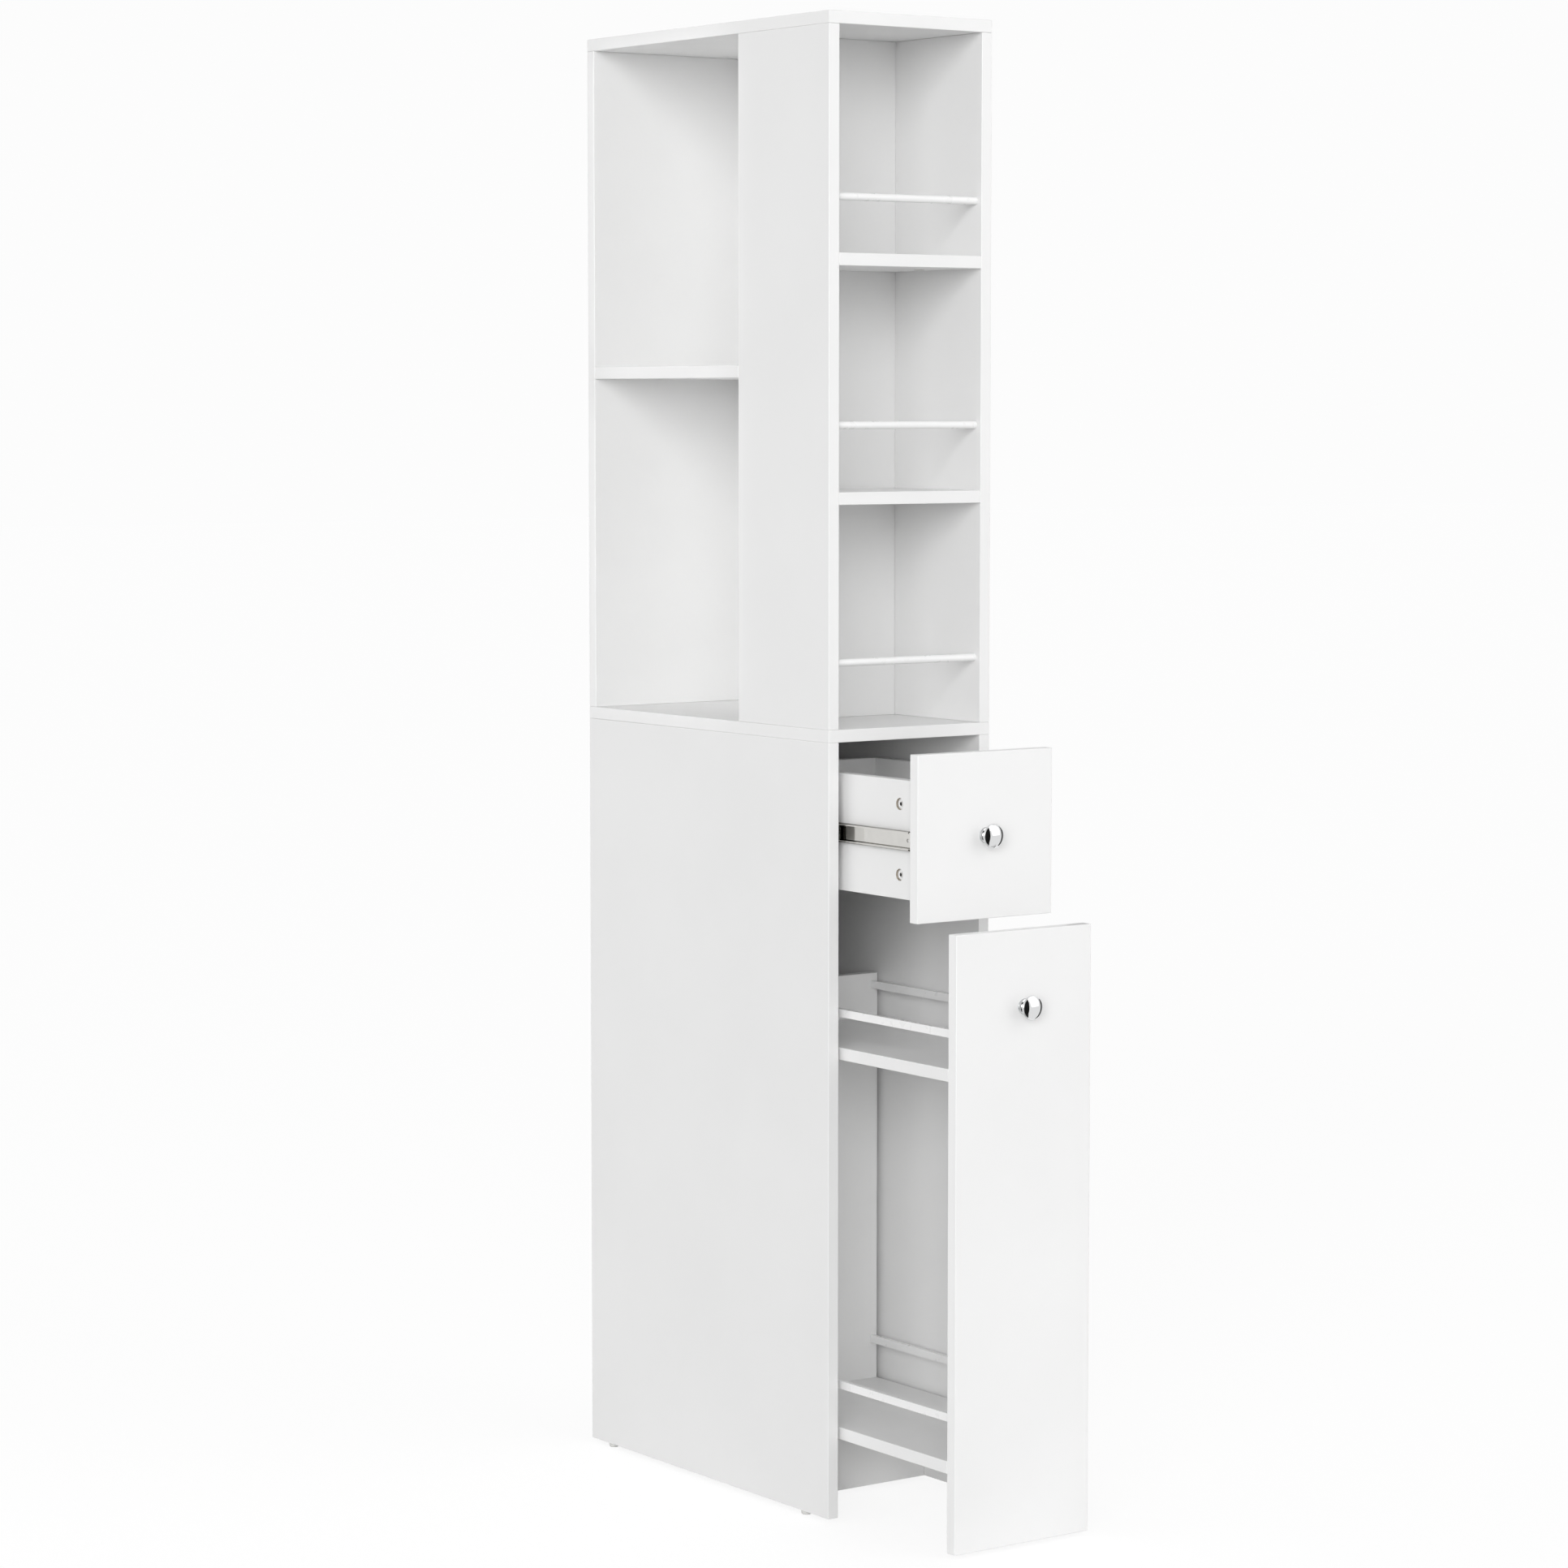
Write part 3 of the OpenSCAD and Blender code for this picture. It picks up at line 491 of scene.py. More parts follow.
@dataclass(frozen=True)
class Finishes:
    """Every finish of the tower, made once."""

    case_face: BoardFinish = BoardFinish("case_melamine", "case_board", CASE_WHITE, BOX_WHITE)
    box_face: BoardFinish = BoardFinish("box_melamine", "case_board", BOX_WHITE, BOX_WHITE)
    front_face: BoardFinish = BoardFinish(
        "front_lacquer", "front_board", FRONT_WHITE, FRONT_WHITE, sheen=0.34
    )
    rail_x: LacquerFinish = LacquerFinish("bottle_rail_lacquer", "rail_lacquer", Run.X, FRONT_WHITE)
    rail_y: LacquerFinish = LacquerFinish(
        "gallery_rail_lacquer", "rail_lacquer", Run.Y, FRONT_WHITE
    )
    slide: MetalFinish = MetalFinish(
        "rolled_slide_steel", "slide_steel", SLIDE_STEEL, SLIDE_GLOSS, SLIDE_LINES,
        SLIDE_DEPTH, stain=0.96, painted_flange_shade=FLANGE_PAINTED_SHADE,
    )
    flat_slide: MetalFinish = MetalFinish(
        "rolled_slide_steel_flat", "slide_steel", SLIDE_STEEL, SLIDE_GLOSS, SLIDE_LINES,
        SLIDE_DEPTH, stain=0.96, painted_flange_shade=FLANGE_PAINTED_SHADE, web=Run.Z,
    )
    cage: MetalFinish = MetalFinish(
        "ball_cage_steel", "cage_steel", colour=(0.52, 0.53, 0.54), roughness=(0.16, 0.3),
        marks=Run.Y.stretch(along=90.0, across=900.0), depth=0.003 * MM,
    )
    casting: MetalFinish = MetalFinish(
        "zinc_casting", "fitting_metal", colour=(0.8, 0.8, 0.8), roughness=(0.34, 0.46),
        marks=evenly(900.0), depth=0.01 * MM, stain=0.93,
    )
    screw: MetalFinish = MetalFinish(
        "plated_screw_steel", "screw_steel", colour=(0.58, 0.58, 0.57), roughness=(0.24, 0.36),
        marks=evenly(700.0), depth=0.008 * MM,
    )
    # Dark finish that paints shade into the cams' key sockets
    socket: MetalFinish = MetalFinish(
        "socket_painted_shade", "fitting_metal", colour=(0.045, 0.045, 0.045), roughness=(0.5, 0.6),
        marks=evenly(900.0), depth=0.01 * MM,
    )
    chrome: MetalFinish = MetalFinish(
        "polished_chrome", "knob_chrome", colour=(0.73, 0.735, 0.74), roughness=(0.03, 0.06),
        marks=evenly(260.0), depth=0.0, stain=0.985,
    )
    core: PlainFinish = PlainFinish(
        "chipboard_core", "case_board", dark=(0.3, 0.26, 0.21), light=(0.46, 0.41, 0.34),
        roughness=(0.8, 0.95), grain=evenly(420.0), depth=0.15 * MM,
    )
    dowel: PlainFinish = PlainFinish(
        "raw_beech", "dowel_wood", dark=(0.5, 0.33, 0.17), light=(0.66, 0.47, 0.27),
        roughness=(0.6, 0.75), grain=(500.0, 500.0, 90.0), depth=0.04 * MM,
    )
    glide: PlainFinish = PlainFinish(
        "glide_plastic", "glide_plastic", dark=(0.62, 0.62, 0.6), light=(0.68, 0.68, 0.66),
        roughness=(0.4, 0.5), grain=evenly(800.0), depth=0.01 * MM,
    )


class Workshop:
    """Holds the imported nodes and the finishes, and dresses one node at a time."""

    def __init__(self, frame: dict) -> None:
        """Takes the frame.
        """
        self.nodes = frame["nodes"]
        self.finishes = Finishes()
        self.made: dict[str, bpy.types.Material] = {}
        bodies = frame["record"]["behaviour"]["bodies"]
        self.bodies = {node: body for body, members in bodies.items() for node in members}

    def material(self, finish: Finish) -> bpy.types.Material:
        """Builds a finish once and keeps it.

        Args:
            finish: The finish.

        Returns:
            Its material.
        """
        if finish.name not in self.made:
            self.made[finish.name] = finish.material()
        return self.made[finish.name]

    def band(self, face: BoardFinish, run: Run) -> bpy.types.Material:
        """The edge band's material for one kind of board and one direction."""
        name = f"{face.name}_edge_{run.name.lower()}"
        return self.material(BandFinish(name, face.slot, run, face.edge))

    def dress(self, node: str, finish: Finish) -> None:
        """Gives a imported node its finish.

        Args:
            node: Name of the node.
            finish: The finish.
        """
        piece = self.nodes[node]
        piece.data.materials.clear()
        piece.data.materials.append(self.material(finish))
        LOG.info("dressed %s with %s", node, finish.name)

    def replace(self, node: str, mesh: bpy.types.Mesh, slot: str) -> None:
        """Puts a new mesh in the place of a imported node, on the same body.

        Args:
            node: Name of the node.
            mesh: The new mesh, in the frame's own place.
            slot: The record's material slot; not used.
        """
        piece = place(f"{node}.made", mesh)
        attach(piece, self.bodies[node])
        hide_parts(node)
        LOG.info("made %s: %d faces", node, len(mesh.polygons))


class Part(Enum):
    """What a facet of a board belongs to."""

    FLAT = "outer plane"
    ARRIS = "rounded edge"
    CUT = "hole or groove"


@dataclass
class BoardMaker:
    """Turns a packed board into one with a rounded arris and edge bands.

    Attributes:
        shop: The nodes and finishes.
        arris: Radius of the rounded edges.
        steps: Facets across an arris.
        reach: Distance within which a point lies in an outer plane.
        square: Least cosine between an outer plane and a facet that belongs to it.
        on_face: Least cosine between a broad face and a facet that has its finish.
        roll: Least cosine between a facet of the arris and the plane that it rolls into.
        alike: Least cosine between facets that are shaded as one curve.
        flat_angle: Degrees within which neighbouring facets become one.
    """

    shop: Workshop
    arris: float = 0.9 * MM
    steps: int = 3
    reach: float = 0.02 * MM
    square: float = 0.9999
    on_face: float = 0.999
    roll: float = 0.5
    alike: float = 0.77
    flat_angle: float = 0.3

    def sort(self, polygon: bpy.types.MeshPolygon, low: Vector, high: Vector) -> Part:
        """Tells a facet of an outer plane from one of the arris or of a cut.

        Args:
            polygon: The facet.
            low: Lowest corner of the board.
            high: Highest corner of the board.

        Returns:
            What the facet belongs to.
        """
        near = 0
        for axis in range(3):
            off = min(abs(polygon.center[axis] - side[axis]) for side in (low, high))
            if off < self.reach and abs(polygon.normal[axis]) > self.square:
                return Part.FLAT
            near += off < self.arris
        slanted = max(abs(part) for part in polygon.normal) < self.square
        return Part.ARRIS if near >= 2 and slanted else Part.CUT

    def even_out(self, mesh: bpy.types.Mesh, kinds: list[Part]) -> None:
        """Sets the shading: planes stay flat up to the arris, which rolls between them.

        Args:
            mesh: The board.
            kinds: What each of its facets belongs to.
        """
        normals = [polygon.normal.copy() for polygon in mesh.polygons]
        around: list[list[int]] = [[] for _ in mesh.vertices]
        for polygon in mesh.polygons:
            for vertex in polygon.vertices:
                around[vertex].append(polygon.index)
        shading = []
        for polygon in mesh.polygons:
            kind, own = kinds[polygon.index], normals[polygon.index]
            for vertex in polygon.vertices:
                if kind is Part.FLAT:
                    shading.append(own)
                    continue
                beside = [(kinds[i], normals[i]) for i in around[vertex]]
                flats = [n for part, n in beside if part is Part.FLAT and n.dot(own) > self.roll]
                if kind is Part.ARRIS and flats:
                    shading.append(max(flats, key=own.dot))
                    continue
                alike = [n for part, n in beside if part is kind and n.dot(own) > self.alike]
                shading.append(sum(alike, Vector()).normalized())
        mesh.normals_split_custom_set(shading)

    def outline(
        self, mesh: bmesh.types.BMesh, low: Vector, high: Vector
    ) -> list[bmesh.types.BMEdge]:
        """Edges that lie on the twelve edges of the board's box.

        Args:
            mesh: The board.
            low: Lowest corner.
            high: Highest corner.

        Returns:
            The outline's edges.
        """
        found = []
        for edge in mesh.edges:
            held = 0
            for axis in range(3):
                ends = [vertex.co[axis] for vertex in edge.verts]
                held += any(
                    all(abs(end - side[axis]) < self.reach for end in ends) for side in (low, high)
                )
            if held == 2:
                found.append(edge)
        return found

    def make(self, node: str, face: BoardFinish) -> None:
        """Builds the board with its holes, rounds its outline and finishes its faces and bands.

        Args:
            node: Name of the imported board.
            face: Finish of the two broad faces.
        """
        materials = [self.shop.material(face), *(self.shop.band(face, run) for run in Run)]
        materials.append(self.shop.material(self.shop.finishes.core))
        first_band, core = 1, len(materials) - 1
        low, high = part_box(node)
        size = high - low
        thickness = min(range(3), key=lambda axis: size[axis])
        work = bmesh.new()
        work.from_mesh(self.shop.nodes[node].data)
        bmesh.ops.remove_doubles(work, verts=work.verts, dist=WELD)
        bmesh.ops.dissolve_limit(
            work, angle_limit=math.radians(self.flat_angle), verts=work.verts, edges=work.edges
        )
        bmesh.ops.bevel(
            work, geom=self.outline(work, low, high), offset=self.arris, segments=self.steps,
            profile=0.5, affect="EDGES", clamp_overlap=False,
        )
        bmesh.ops.triangulate(work, faces=[facet for facet in work.faces if len(facet.verts) > 4])
        work.normal_update()
        for polygon in work.faces:
            polygon.smooth = True
            polygon.material_index = 0
            normal = [abs(part) for part in polygon.normal]
            if normal[thickness] < self.on_face:
                others = [axis for axis in range(3) if axis != thickness]
                across = max(others, key=lambda axis: normal[axis])
                run = next(axis for axis in others if axis != across)
                polygon.material_index = first_band + run
        mesh = written(work, node)
        kinds = [self.sort(polygon, low, high) for polygon in mesh.polygons]
        for polygon, kind in zip(mesh.polygons, kinds):
            if kind is Part.CUT:
                polygon.material_index = core
        self.even_out(mesh, kinds)
        for material in materials:
            mesh.materials.append(material)
        self.shop.replace(node, mesh, face.slot)


@dataclass
class UpperCase:
    """Upper section: panels, partition, shelves and the round rails before the front bays."""

    shop: Workshop
    boards: tuple[str, ...] = (
        "top_panel", "upper_right_side", "upper_left_strip", "upper_back_panel", "partition",
        "front_shelf_upper", "front_shelf_lower", "side_shelf", "middle_board",
    )
    rails: tuple[str, ...] = ("bottle_rail_top", "bottle_rail_middle", "bottle_rail_bottom")

    def build(self) -> None:
        """Makes the boards and dresses the rails."""
        maker = BoardMaker(self.shop)
        for board in self.boards:
            maker.make(board, self.shop.finishes.case_face)
        for rail in self.rails:
            self.shop.dress(rail, self.shop.finishes.rail_x)


@dataclass
class LowerCase:
    """Lower section: side panels, rear panel, cross rails and glides."""

    shop: Workshop
    boards: tuple[str, ...] = (
        "lower_left_side", "lower_right_side", "lower_back_panel", "plinth_rail", "rear_rail",
    )

    def build(self) -> None:
        """Makes the boards and dresses the glides."""
        maker = BoardMaker(self.shop)
        for board in self.boards:
            maker.make(board, self.shop.finishes.case_face)
        self.shop.dress("glide_feet", self.shop.finishes.glide)


@dataclass
class Drawer:
    """Drawer box with its front."""

    shop: Workshop
    boards: tuple[str, ...] = ("drawer_left_side", "drawer_right_side", "drawer_back")
    thin_arris: float = 0.2 * MM

    def build(self) -> None:
        """Makes the front, the box and its thin bottom."""
        maker = BoardMaker(self.shop)
        maker.make("drawer_front", self.shop.finishes.front_face)
        for board in self.boards:
            maker.make(board, self.shop.finishes.box_face)
        thin = BoardMaker(self.shop, arris=self.thin_arris)
        thin.make("drawer_bottom", self.shop.finishes.box_face)


@dataclass
class PullOut:
    """Tall pull-out with its front, back panel, shelves and gallery rails."""

    shop: Workshop
    boards: tuple[str, ...] = ("pullout_back", "pullout_bottom_shelf", "pullout_middle_shelf")
    rails: tuple[str, ...] = (
        "gallery_rail_lower_left", "gallery_rail_lower_right",
        "gallery_rail_upper_left", "gallery_rail_upper_right",
    )

    def build(self) -> None:
        """Makes the front, the boards and the rails."""
        maker = BoardMaker(self.shop)
        maker.make("pullout_front", self.shop.finishes.front_face)
        for board in self.boards:
            maker.make(board, self.shop.finishes.case_face)
        for rail in self.rails:
            self.shop.dress(rail, self.shop.finishes.rail_y)


@dataclass
class Slides:
    """Telescopic slides of the drawer and the pull-out, with their ball cages."""

    shop: Workshop
    carriers: tuple[str, ...] = ("drawer", "pullout")

    def build(self) -> None:
        """Dresses the members and the cages."""
        for carrier in self.carriers:
            finishes = self.shop.finishes
            finish = finishes.slide if carrier == "drawer" else finishes.flat_slide
            for member in ("outer", "middle", "inner"):
                for side in ("left", "right"):
                    self.shop.dress(f"{carrier}_slide_{member}_{side}", finish)
            for cage in ("outer", "inner"):
                self.shop.dress(f"{carrier}_{cage}_cages", finishes.cage)


@dataclass
class Fittings:
    """Cam locks, dowels and screws.

    Attributes:
        shop: The nodes and finishes.
        cam: Diameter of a cam.
        slack: How far a cam's measure may be off it.
        socket: Diameter within which a facet of a cam is in its key socket.
        painted_shade_index: Place of the painted socket shade among a cam's materials.
        crease: Degrees from which neighbouring facets are shaded apart.
    """

    shop: Workshop
    cam: float = 14.0 * MM
    slack: float = 0.4 * MM
    socket: float = 5.2 * MM
    painted_shade_index: int = 1
    crease: float = 35.0

    def islands(self, work: bmesh.types.BMesh) -> list[list[bmesh.types.BMFace]]:
        """Parts a node's mesh into its separate fittings.

        Args:
            work: The mesh.

        Returns:
            The faces of each fitting.
        """
        found, left = [], set(work.faces)
        while left:
            queue = [left.pop()]
            island = []
            while queue:
                face = queue.pop()
                island.append(face)
                for vertex in face.verts:
                    for beside in vertex.link_faces:
                        if beside in left:
                            left.discard(beside)
                            queue.append(beside)
            found.append(island)
        return found

    def paint_socket_shade(self, island: list[bmesh.types.BMFace]) -> None:
        """Paints shade into the key socket of a cam with the second finish, and leaves its bolt as it
        is.

        Args:
            island: Faces of one fitting.
        """
        points = [vertex.co for face in island for vertex in face.verts]
        low = [min(point[axis] for point in points) for axis in range(3)]
        high = [max(point[axis] for point in points) for axis in range(3)]
        for axis in range(3):
            across = [other for other in range(3) if other != axis]
            if any(abs(high[other] - low[other] - self.cam) > self.slack for other in across):
                continue
            middle = [(low[other] + high[other]) / 2 for other in across]
            for face in island:
                spread = max(
                    math.hypot(vertex.co[across[0]] - middle[0], vertex.co[across[1]] - middle[1])
                    for vertex in face.verts
                )
                if spread < self.socket / 2:
                    face.material_index = self.painted_shade_index
            return

    def sockets(self, node: str) -> None:
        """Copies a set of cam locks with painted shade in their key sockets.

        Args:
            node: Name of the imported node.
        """
        finishes = self.shop.finishes
        work = bmesh.new()
        work.from_mesh(self.shop.nodes[node].data)
        bmesh.ops.remove_doubles(work, verts=work.verts, dist=WELD)
        for island in self.islands(work):
            self.paint_socket_shade(island)
        for face in work.faces:
            face.smooth = True
        mesh = written(work, node)
        mesh.set_sharp_from_angle(angle=math.radians(self.crease))
        for finish in (finishes.casting, finishes.socket):
            mesh.materials.append(self.shop.material(finish))
        self.shop.replace(node, mesh, finishes.casting.slot)

    def build(self) -> None:
        """Dresses the fittings of every section."""
        finishes = self.shop.finishes
        for owner in ("case", "drawer", "pullout"):
            self.sockets(f"{owner}_cam_fittings")
            self.shop.dress(f"{owner}_dowels", finishes.dowel)
            self.shop.dress(f"{owner}_slide_screws", finishes.screw)
        for owner in ("drawer", "pullout"):
            self.shop.dress(f"{owner}_knob_screw", finishes.screw)


@dataclass
class Knobs:
    """Turned chrome knobs: foot, hollow neck, flared head, rim and domed face.

    Attributes:
        shop: The nodes and finishes.
        head: Diameter of the head.
        foot: Diameter of the foot.
        neck: Diameter of the neck.
        length: Length from the foot to the middle of the face.
        lip: Height of the foot's straight part.
        foot_round: Radius of the foot's edge.
        shoulder: Where the head's back ends, as a part of the length.
        waist: Where the neck is thinnest, as a part of the shoulder.
        back_round: Width and height of the rounding at the head's back.
        band_top: Height of the head's widest part over the shoulder.
        rim: Width of the rim's rounding.
        rim_top: Height of the rim over the shoulder.
        groove: Width and depth of the groove inside the rim.
        bore: Diameter of the bore.
        bore_depth: Depth of the bore.
        turns: Facets round the knob.
        corner_steps: Facets of a small rounding.
        sweep_steps: Facets of each half of the hollow neck.
        rim_steps: Facets of the rim's rounding.
        face_rings: Facets from the groove to the middle of the face.
        crease: Degrees from which neighbouring facets are shaded apart.
    """

    shop: Workshop
    head: float = 29.0 * MM
    foot: float = 19.0 * MM
    neck: float = 10.0 * MM
    length: float = 20.5 * MM
    lip: float = 1.8 * MM
    foot_round: float = 0.4 * MM
    shoulder: float = 0.68
    waist: float = 0.5
    back_round: Pair = (0.25 * MM, 0.35 * MM)
    band_top: float = 0.5 * MM
    rim: float = 0.8 * MM
    rim_top: float = 2.5 * MM
    groove: Pair = (0.3 * MM, 0.08 * MM)
    bore: float = 4.06 * MM
    bore_depth: float = 10.6 * MM
    turns: int = 96
    corner_steps: int = 4
    sweep_steps: int = 20
    rim_steps: int = 12
    face_rings: int = 28
    crease: float = 50.0

    def arc(self, start: Pair, end: Pair, steps: int, upright: bool = False) -> list[Pair]:
        """Quarter of an ellipse between two points of the profile.

        Args:
            start: Radius and height of the first point.
            end: Radius and height of the last point.
            steps: Number of pieces.
            upright: Whether the curve leaves its first point along the axis.

        Returns:
            The points after the first one.
        """
        points = []
        for step in range(1, steps + 1):
            angle = math.pi / 2 * step / steps
            late, early = 1 - math.cos(angle), math.sin(angle)
            shares = (late, early) if upright else (early, late)
            points.append(tuple(a + (b - a) * share for a, b, share in zip(start, end, shares)))
        return points

    def profile(self) -> list[Pair]:
        """Outline from the end of the bore round to the middle of the face.

        Returns:
            Radius and height of each point.
        """
        shoulder = self.length * self.shoulder
        foot, neck, head, hole = (size / 2 for size in (self.foot, self.neck, self.head, self.bore))
        line = [(0.0, self.bore_depth), (hole, self.bore_depth), (hole, 0.0)]
        line.append((foot - self.foot_round, 0.0))
        line += self.arc(line[-1], (foot, self.foot_round), self.corner_steps)
        line.append((foot, self.lip))
        line += self.arc(line[-1], (neck, shoulder * self.waist), self.sweep_steps)
        wide, high = self.back_round
        line += self.arc(line[-1], (head - wide, shoulder), self.sweep_steps, upright=True)
        line += self.arc(line[-1], (head, shoulder + high), self.corner_steps)
        line.append((head, shoulder + self.band_top))
        rim = (head - self.rim, shoulder + self.rim_top)
        line += self.arc(line[-1], rim, self.rim_steps, upright=True)
        wide, deep = self.groove
        edge = head - self.rim - wide
        line += [(edge + wide / 2, line[-1][1]), (edge, line[-1][1] - deep)]
        rise = self.length - line[-1][1]
        ball = (edge * edge + rise * rise) / (2 * rise)
        for step in range(1, self.face_rings + 1):
            radius = edge * (1 - step / self.face_rings)
            line.append((radius, self.length - ball + math.sqrt(ball * ball - radius * radius)))
        return line

    def turn(self, node: str) -> None:
        """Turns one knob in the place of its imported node.

        Args:
            node: Name of the node.
        """
        low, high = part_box(node)
        x, y, z = (low.x + high.x) / 2, high.y, (low.z + high.z) / 2
        work = bmesh.new()
        rings = []
        for radius, height in self.profile():
            if radius < WELD:
                rings.append([work.verts.new((x, y - height, z))])
                continue
            ring = []
            for turn in range(self.turns):
                angle = 2 * math.pi * turn / self.turns
                across, up = radius * math.cos(angle), radius * math.sin(angle)
                ring.append(work.verts.new((x + across, y - height, z + up)))
            rings.append(ring)
        for below, above in zip(rings, rings[1:]):
            for turn in range(self.turns):
                after = (turn + 1) % self.turns
                corners = [below[turn % len(below)], below[after % len(below)]]
                corners += [above[after % len(above)], above[turn % len(above)]]
                work.faces.new(list(dict.fromkeys(corners)))
        bmesh.ops.recalc_face_normals(work, faces=work.faces)
        for face in work.faces:
            face.smooth = True
        mesh = written(work, node)
        mesh.set_sharp_from_angle(angle=math.radians(self.crease))
        mesh.materials.append(self.shop.material(self.shop.finishes.chrome))
        self.shop.replace(node, mesh, self.shop.finishes.chrome.slot)

    def build(self) -> None:
        """Turns both knobs."""
        for node in ("drawer_knob", "pullout_knob"):
            self.turn(node)


@dataclass
class Studio:
    """Pale floor and surround, lamps, black flags and the camera.

    Attributes:
        white: Tone of the surround where it is seen.
        sky: Strength of its light on the object.
        floor_tone: Tone of the floor for the light that it throws back.
        shadow_tone: Tone of the seen floor's shaded part.
        floor_lift: Glow of the seen floor, which its shadows are laid over.
        floor_reach: Distance from the middle of the floor to its edges.
        cloth_tone: Tone of the black flags.
        cloth_roughness: Roughness of the black flags.
        eye: Place of the camera.
        turn: Degrees by which it looks to the right of the tower's depth.
        dip: Degrees by which it looks down.
        lens: Focal length on the sensor, in millimetres.
        sensor: Width of the sensor, in millimetres.
        horizon: Distance up to which the camera sees.
    """

    white: float = 0.975
    sky: float = 0.42
    floor_tone: float = 0.8
    shadow_tone: float = 0.2
    floor_lift: float = 0.858
    floor_reach: float = 40.0
    cloth_tone: float = 0.004
    cloth_roughness: float = 0.9
    eye: Point = (-3.1326, -4.25405, 1.3265)
    turn: float = 35.607
    dip: float = 4.942
    lens: float = 100.056
    sensor: float = 36.0
    horizon: float = 60.0

    def camera(self) -> None:
        """Puts the camera where the photo was taken from."""
        data = bpy.data.cameras.new("studio_camera")
        data.sensor_width = self.sensor
        data.lens = self.lens
        data.clip_end = self.horizon
        camera = place("studio_camera", data)
        camera.location = self.eye
        camera.rotation_euler = (math.radians(90.0 - self.dip), 0.0, math.radians(-self.turn))
        bpy.context.scene.camera = camera

    def seen_directly(self, tree: bpy.types.NodeTree, path: bpy.types.Node) -> bpy.types.NodeSocket:
        """Tells camera, mirror and glass rays from the rays that light the object.

        Args:
            tree: Node tree of the surround or the floor.
            path: Its light path node.

        Returns:
            A socket that is one for such rays and nought for the others.
        """
        socket = path.outputs["Is Camera Ray"]
        for kind in ("Is Glossy Ray", "Is Transmission Ray"):
            either = tree.nodes.new("ShaderNodeMath")
            either.operation = "MAXIMUM"
            tree.links.new(socket, either.inputs[0])
            tree.links.new(path.outputs[kind], either.inputs[1])
            socket = either.outputs[0]
        return socket

    def background(self) -> None:
        """Gives a soft white surround that shows as a plain background."""
        world = bpy.data.worlds.new("studio_surround")
        bpy.context.scene.world = world
        world.use_nodes = True
        tree = world.node_tree
        tree.nodes.clear()
        path = tree.nodes.new("ShaderNodeLightPath")
        light = tree.nodes.new("ShaderNodeBackground")
        light.inputs["Color"].default_value = grey(1.0)
        light.inputs["Strength"].default_value = self.sky
        plain = tree.nodes.new("ShaderNodeBackground")
        plain.inputs["Color"].default_value = grey(self.white)
        plain.inputs["Strength"].default_value = 1.0
        mix = tree.nodes.new("ShaderNodeMixShader")
        output = tree.nodes.new("ShaderNodeOutputWorld")
        tree.links.new(self.seen_directly(tree, path), mix.inputs[0])
        tree.links.new(light.outputs[0], mix.inputs[1])
        tree.links.new(plain.outputs[0], mix.inputs[2])
        tree.links.new(mix.outputs[0], output.inputs["Surface"])

    def floor(self) -> None:
        """Lays a pale floor that shows the background's white where nothing shades it."""
        mesh = bpy.data.meshes.new("studio_floor")
        edge = self.floor_reach
        corners = [(-edge, -edge, 0), (edge, -edge, 0), (edge, edge, 0), (-edge, edge, 0)]
        mesh.from_pydata(corners, [], [(0, 1, 2, 3)])
        floor = place("studio_floor", mesh)
        material = bpy.data.materials.new("studio_floor")
        material.use_nodes = True
        tree = material.node_tree
        tree.nodes.clear()
        path = tree.nodes.new("ShaderNodeLightPath")
        matt = tree.nodes.new("ShaderNodeBsdfDiffuse")
        matt.inputs["Color"].default_value = grey(self.floor_tone)
        shadow = tree.nodes.new("ShaderNodeBsdfDiffuse")
        shadow.inputs["Color"].default_value = grey(self.shadow_tone)
        lift = tree.nodes.new("ShaderNodeEmission")
        lift.inputs["Color"].default_value = grey(self.floor_lift)
        lift.inputs["Strength"].default_value = 1.0
        both = tree.nodes.new("ShaderNodeAddShader")
        mix = tree.nodes.new("ShaderNodeMixShader")
        output = tree.nodes.new("ShaderNodeOutputMaterial")
        tree.links.new(shadow.outputs[0], both.inputs[0])
        tree.links.new(lift.outputs[0], both.inputs[1])
        tree.links.new(self.seen_directly(tree, path), mix.inputs[0])
        tree.links.new(matt.outputs[0], mix.inputs[1])
        tree.links.new(both.outputs[0], mix.inputs[2])
        tree.links.new(mix.outputs[0], output.inputs["Surface"])
        mesh.materials.append(material)

    def aim(self, lamp: bpy.types.Object, toward: Point) -> None:
        """Turns a lamp to face a direction."""
        lamp.rotation_euler = Vector(toward).to_track_quat("-Z", "Y").to_euler()

    def lamp(self, name: str, side: float, height: float, strength: float, softness: float) -> None:
        """Adds a soft, distant lamp.

        Args:
            name: Name of the lamp.
            side: Degrees round from the tower's left (0) by its front (90) to its right (180).
            height: Degrees above the floor.
            strength: Light on a face that it meets squarely.
            softness: Apparent size of the lamp in degrees.
        """
        round_, up = math.radians(side), math.radians(height)
        toward = (math.cos(round_) * math.cos(up), math.sin(round_) * math.cos(up), -math.sin(up))
        data = bpy.data.lights.new(name, "SUN")
        data.energy = strength
        data.angle = math.radians(softness)
        self.aim(place(name, data), toward)

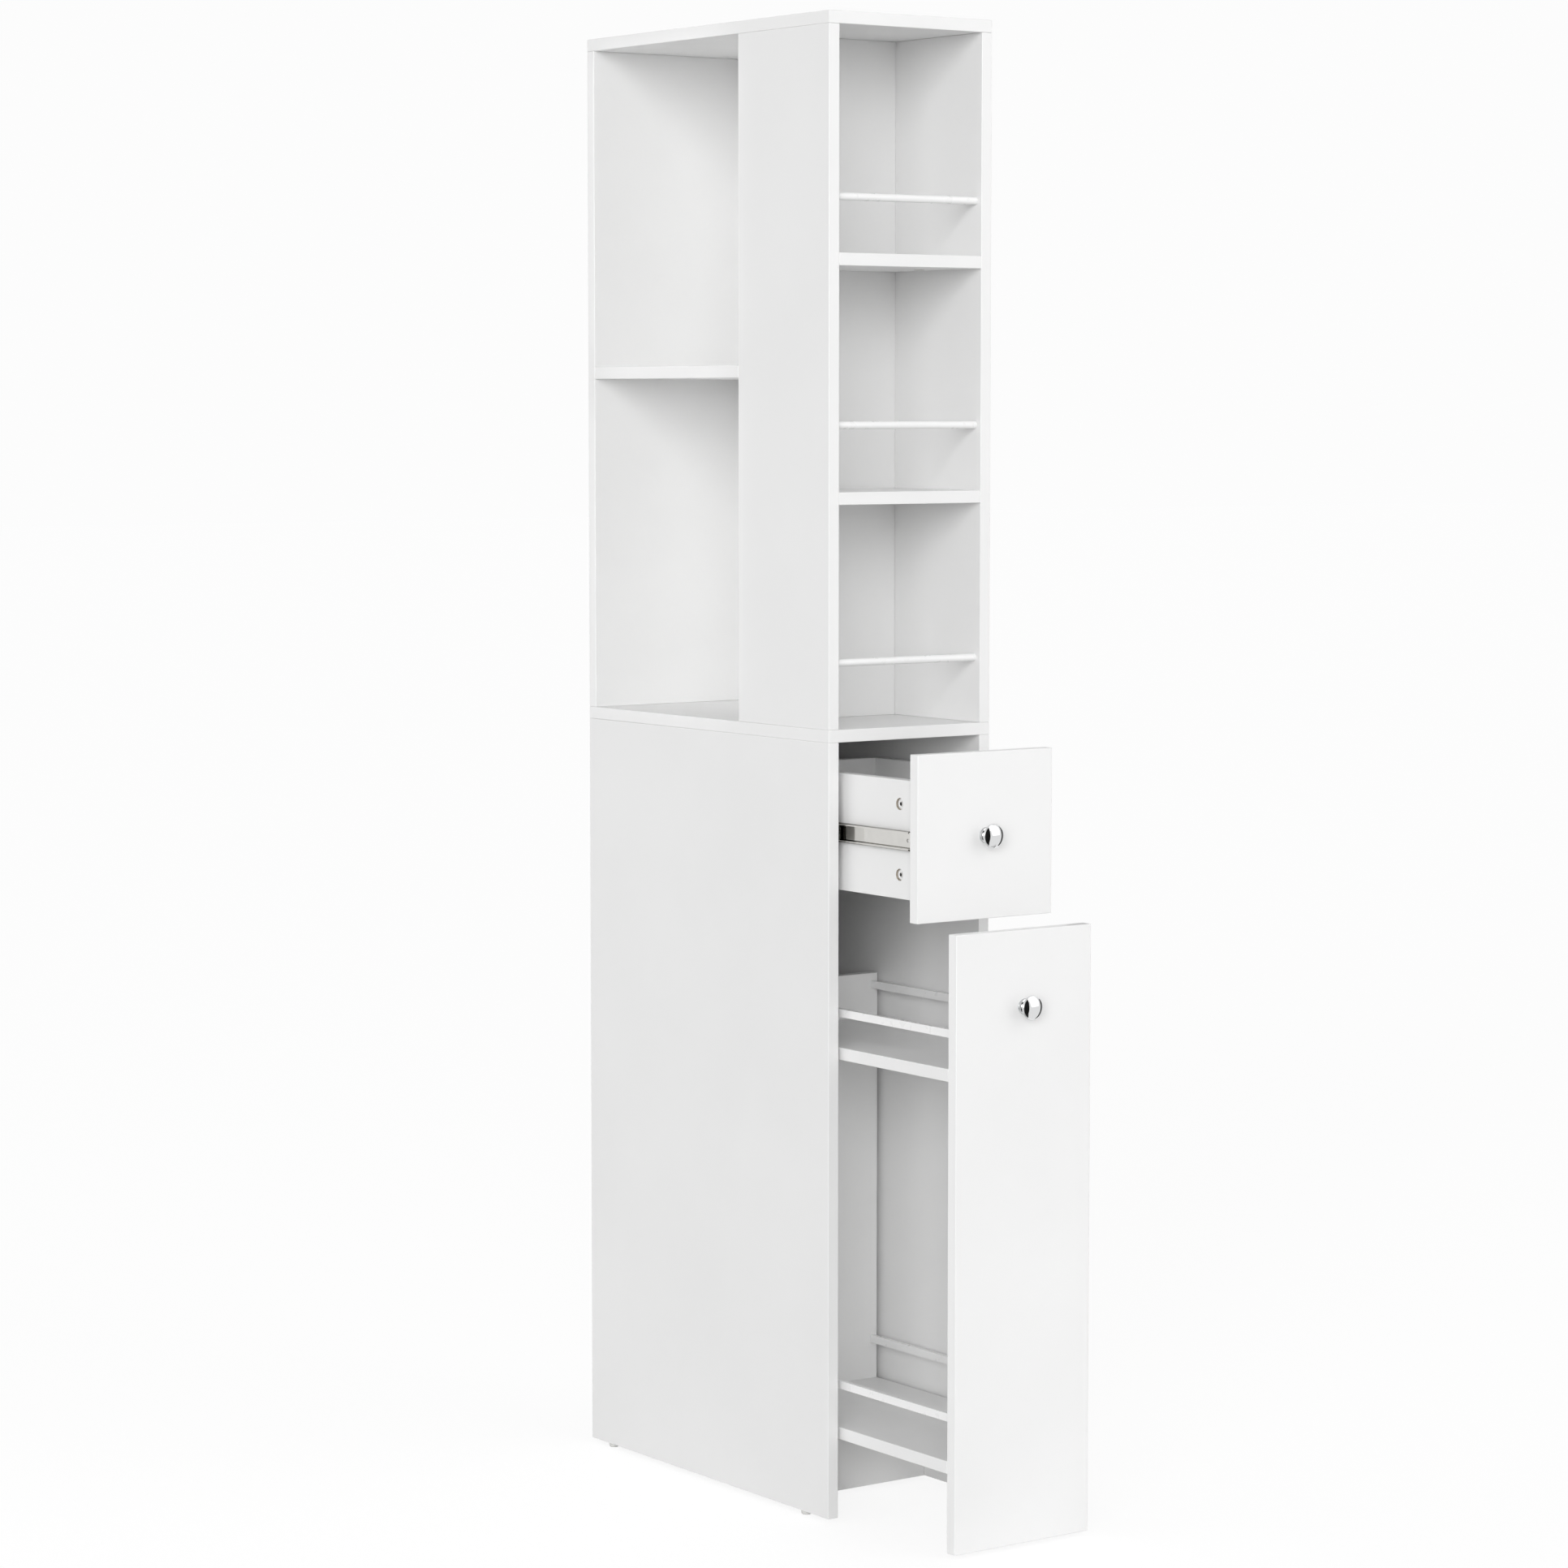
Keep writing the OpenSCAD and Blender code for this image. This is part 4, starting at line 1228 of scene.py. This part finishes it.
    def softbox(
        self,
        name: str,
        centre: Point,
        toward: Point,
        size: Pair,
        watts: float,
        spread: float = FULL_SPREAD,
    ) -> None:
        """Adds a near softbox that the camera doesn't see.

        Args:
            name: Name of the lamp.
            centre: Its middle.
            toward: Direction in which it faces.
            size: Width and height.
            watts: Its power.
            spread: Degrees over which its light fans out. Reflections show it at full spread only.
        """
        data = bpy.data.lights.new(name, "AREA")
        data.shape = "RECTANGLE"
        data.size, data.size_y = size
        data.energy = watts
        data.spread = math.radians(spread)
        lamp = place(name, data)
        lamp.location = centre
        lamp.visible_camera = False
        lamp.visible_glossy = spread >= FULL_SPREAD
        self.aim(lamp, toward)

    def flag(
        self,
        name: str,
        near: Pair,
        far: Pair,
        rise: Pair,
        apron: float = 0.0,
        body: str = "",
    ) -> None:
        """Hangs a black flag that is seen in reflections only, with an apron before it if asked.

        Args:
            name: Name of the flag.
            near: One end of it, seen from above.
            far: The other end.
            rise: Heights of its lower and upper edge.
            apron: Length of cloth along the floor, towards the tower.
            body: Moving part that it stays beside, if any.
        """
        along = Vector((far[0] - near[0], far[1] - near[1])).normalized()
        inward = Vector((-along.y, along.x)) * apron
        foot = [(*near, rise[0]), (*far, rise[0])]
        corners = foot + [(*far, rise[1]), (*near, rise[1])]
        faces = [(0, 1, 2, 3)]
        if apron:
            corners += [(x + inward.x, y + inward.y, z) for x, y, z in foot]
            faces.append((4, 5, 1, 0))
        mesh = bpy.data.meshes.new(name)
        mesh.from_pydata(corners, [], faces)
        flag = place(name, mesh)
        cloth = bpy.data.materials.new(name)
        cloth.use_nodes = True
        surface = cloth.node_tree.nodes["Principled BSDF"]
        surface.inputs["Base Color"].default_value = grey(self.cloth_tone)
        surface.inputs["Roughness"].default_value = self.cloth_roughness
        mesh.materials.append(cloth)
        for ray in ("camera", "diffuse", "shadow", "transmission", "volume_scatter"):
            setattr(flag, f"visible_{ray}", False)
        if body:
            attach(flag, body)

    def build(self) -> None:
        """Sets up camera, surround, floor, flags and lamps."""
        self.camera()
        self.background()
        self.floor()
        self.flag("front_flag", near=(-0.86, -1.15), far=(0.0, -1.3), rise=(0.002, 4.0), apron=0.8)
        self.flag(
            "upper_rim_flag", near=(0.135, -0.315), far=(0.135, -0.27), rise=(0.733, 1.8),
            body="drawer",
        )
        self.flag(
            "lower_rim_flag", near=(0.135, -0.388), far=(0.135, -0.343), rise=(0.002, 0.685),
            body="pullout",
        )
        self.lamp("key_lamp", side=45.0, height=10.0, strength=2.1, softness=40.0)
        self.lamp("fill_lamp", side=130.0, height=15.0, strength=0.54, softness=60.0)
        self.softbox(
            "side_softbox", centre=(-1.5, 0.2, 1.0), toward=(1.0, 0.0, 0.0), size=(1.3, 3.2),
            watts=3.2,
        )
        for name, height in (("lower_bay_softbox", 1.137), ("upper_bay_softbox", 1.556)):
            self.softbox(
                name, centre=(-0.42, 0.325, height), toward=(1.0, -0.38, 0.06), size=(0.25, 0.36),
                watts=0.115, spread=20.0,
            )
        self.softbox(
            "front_softbox", centre=(0.6, -2.2, 2.75), toward=(-0.2, 1.0, -0.6), size=(1.5, 1.8),
            watts=6.0,
        )
        bpy.context.scene.view_settings.view_transform = "Standard"


def main() -> None:
    """Builds the tower's looks piece by piece."""
    logging.basicConfig(level=logging.INFO, format="%(name)s: %(message)s")
    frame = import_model()
    shop = Workshop(frame)
    Studio().build()
    for section in (UpperCase, LowerCase, Drawer, PullOut, Slides, Fittings, Knobs):
        section(shop).build()
        LOG.info("finished %s", section.__name__)
    bpy.context.view_layer.update()


if __name__ == "__main__":
    main()
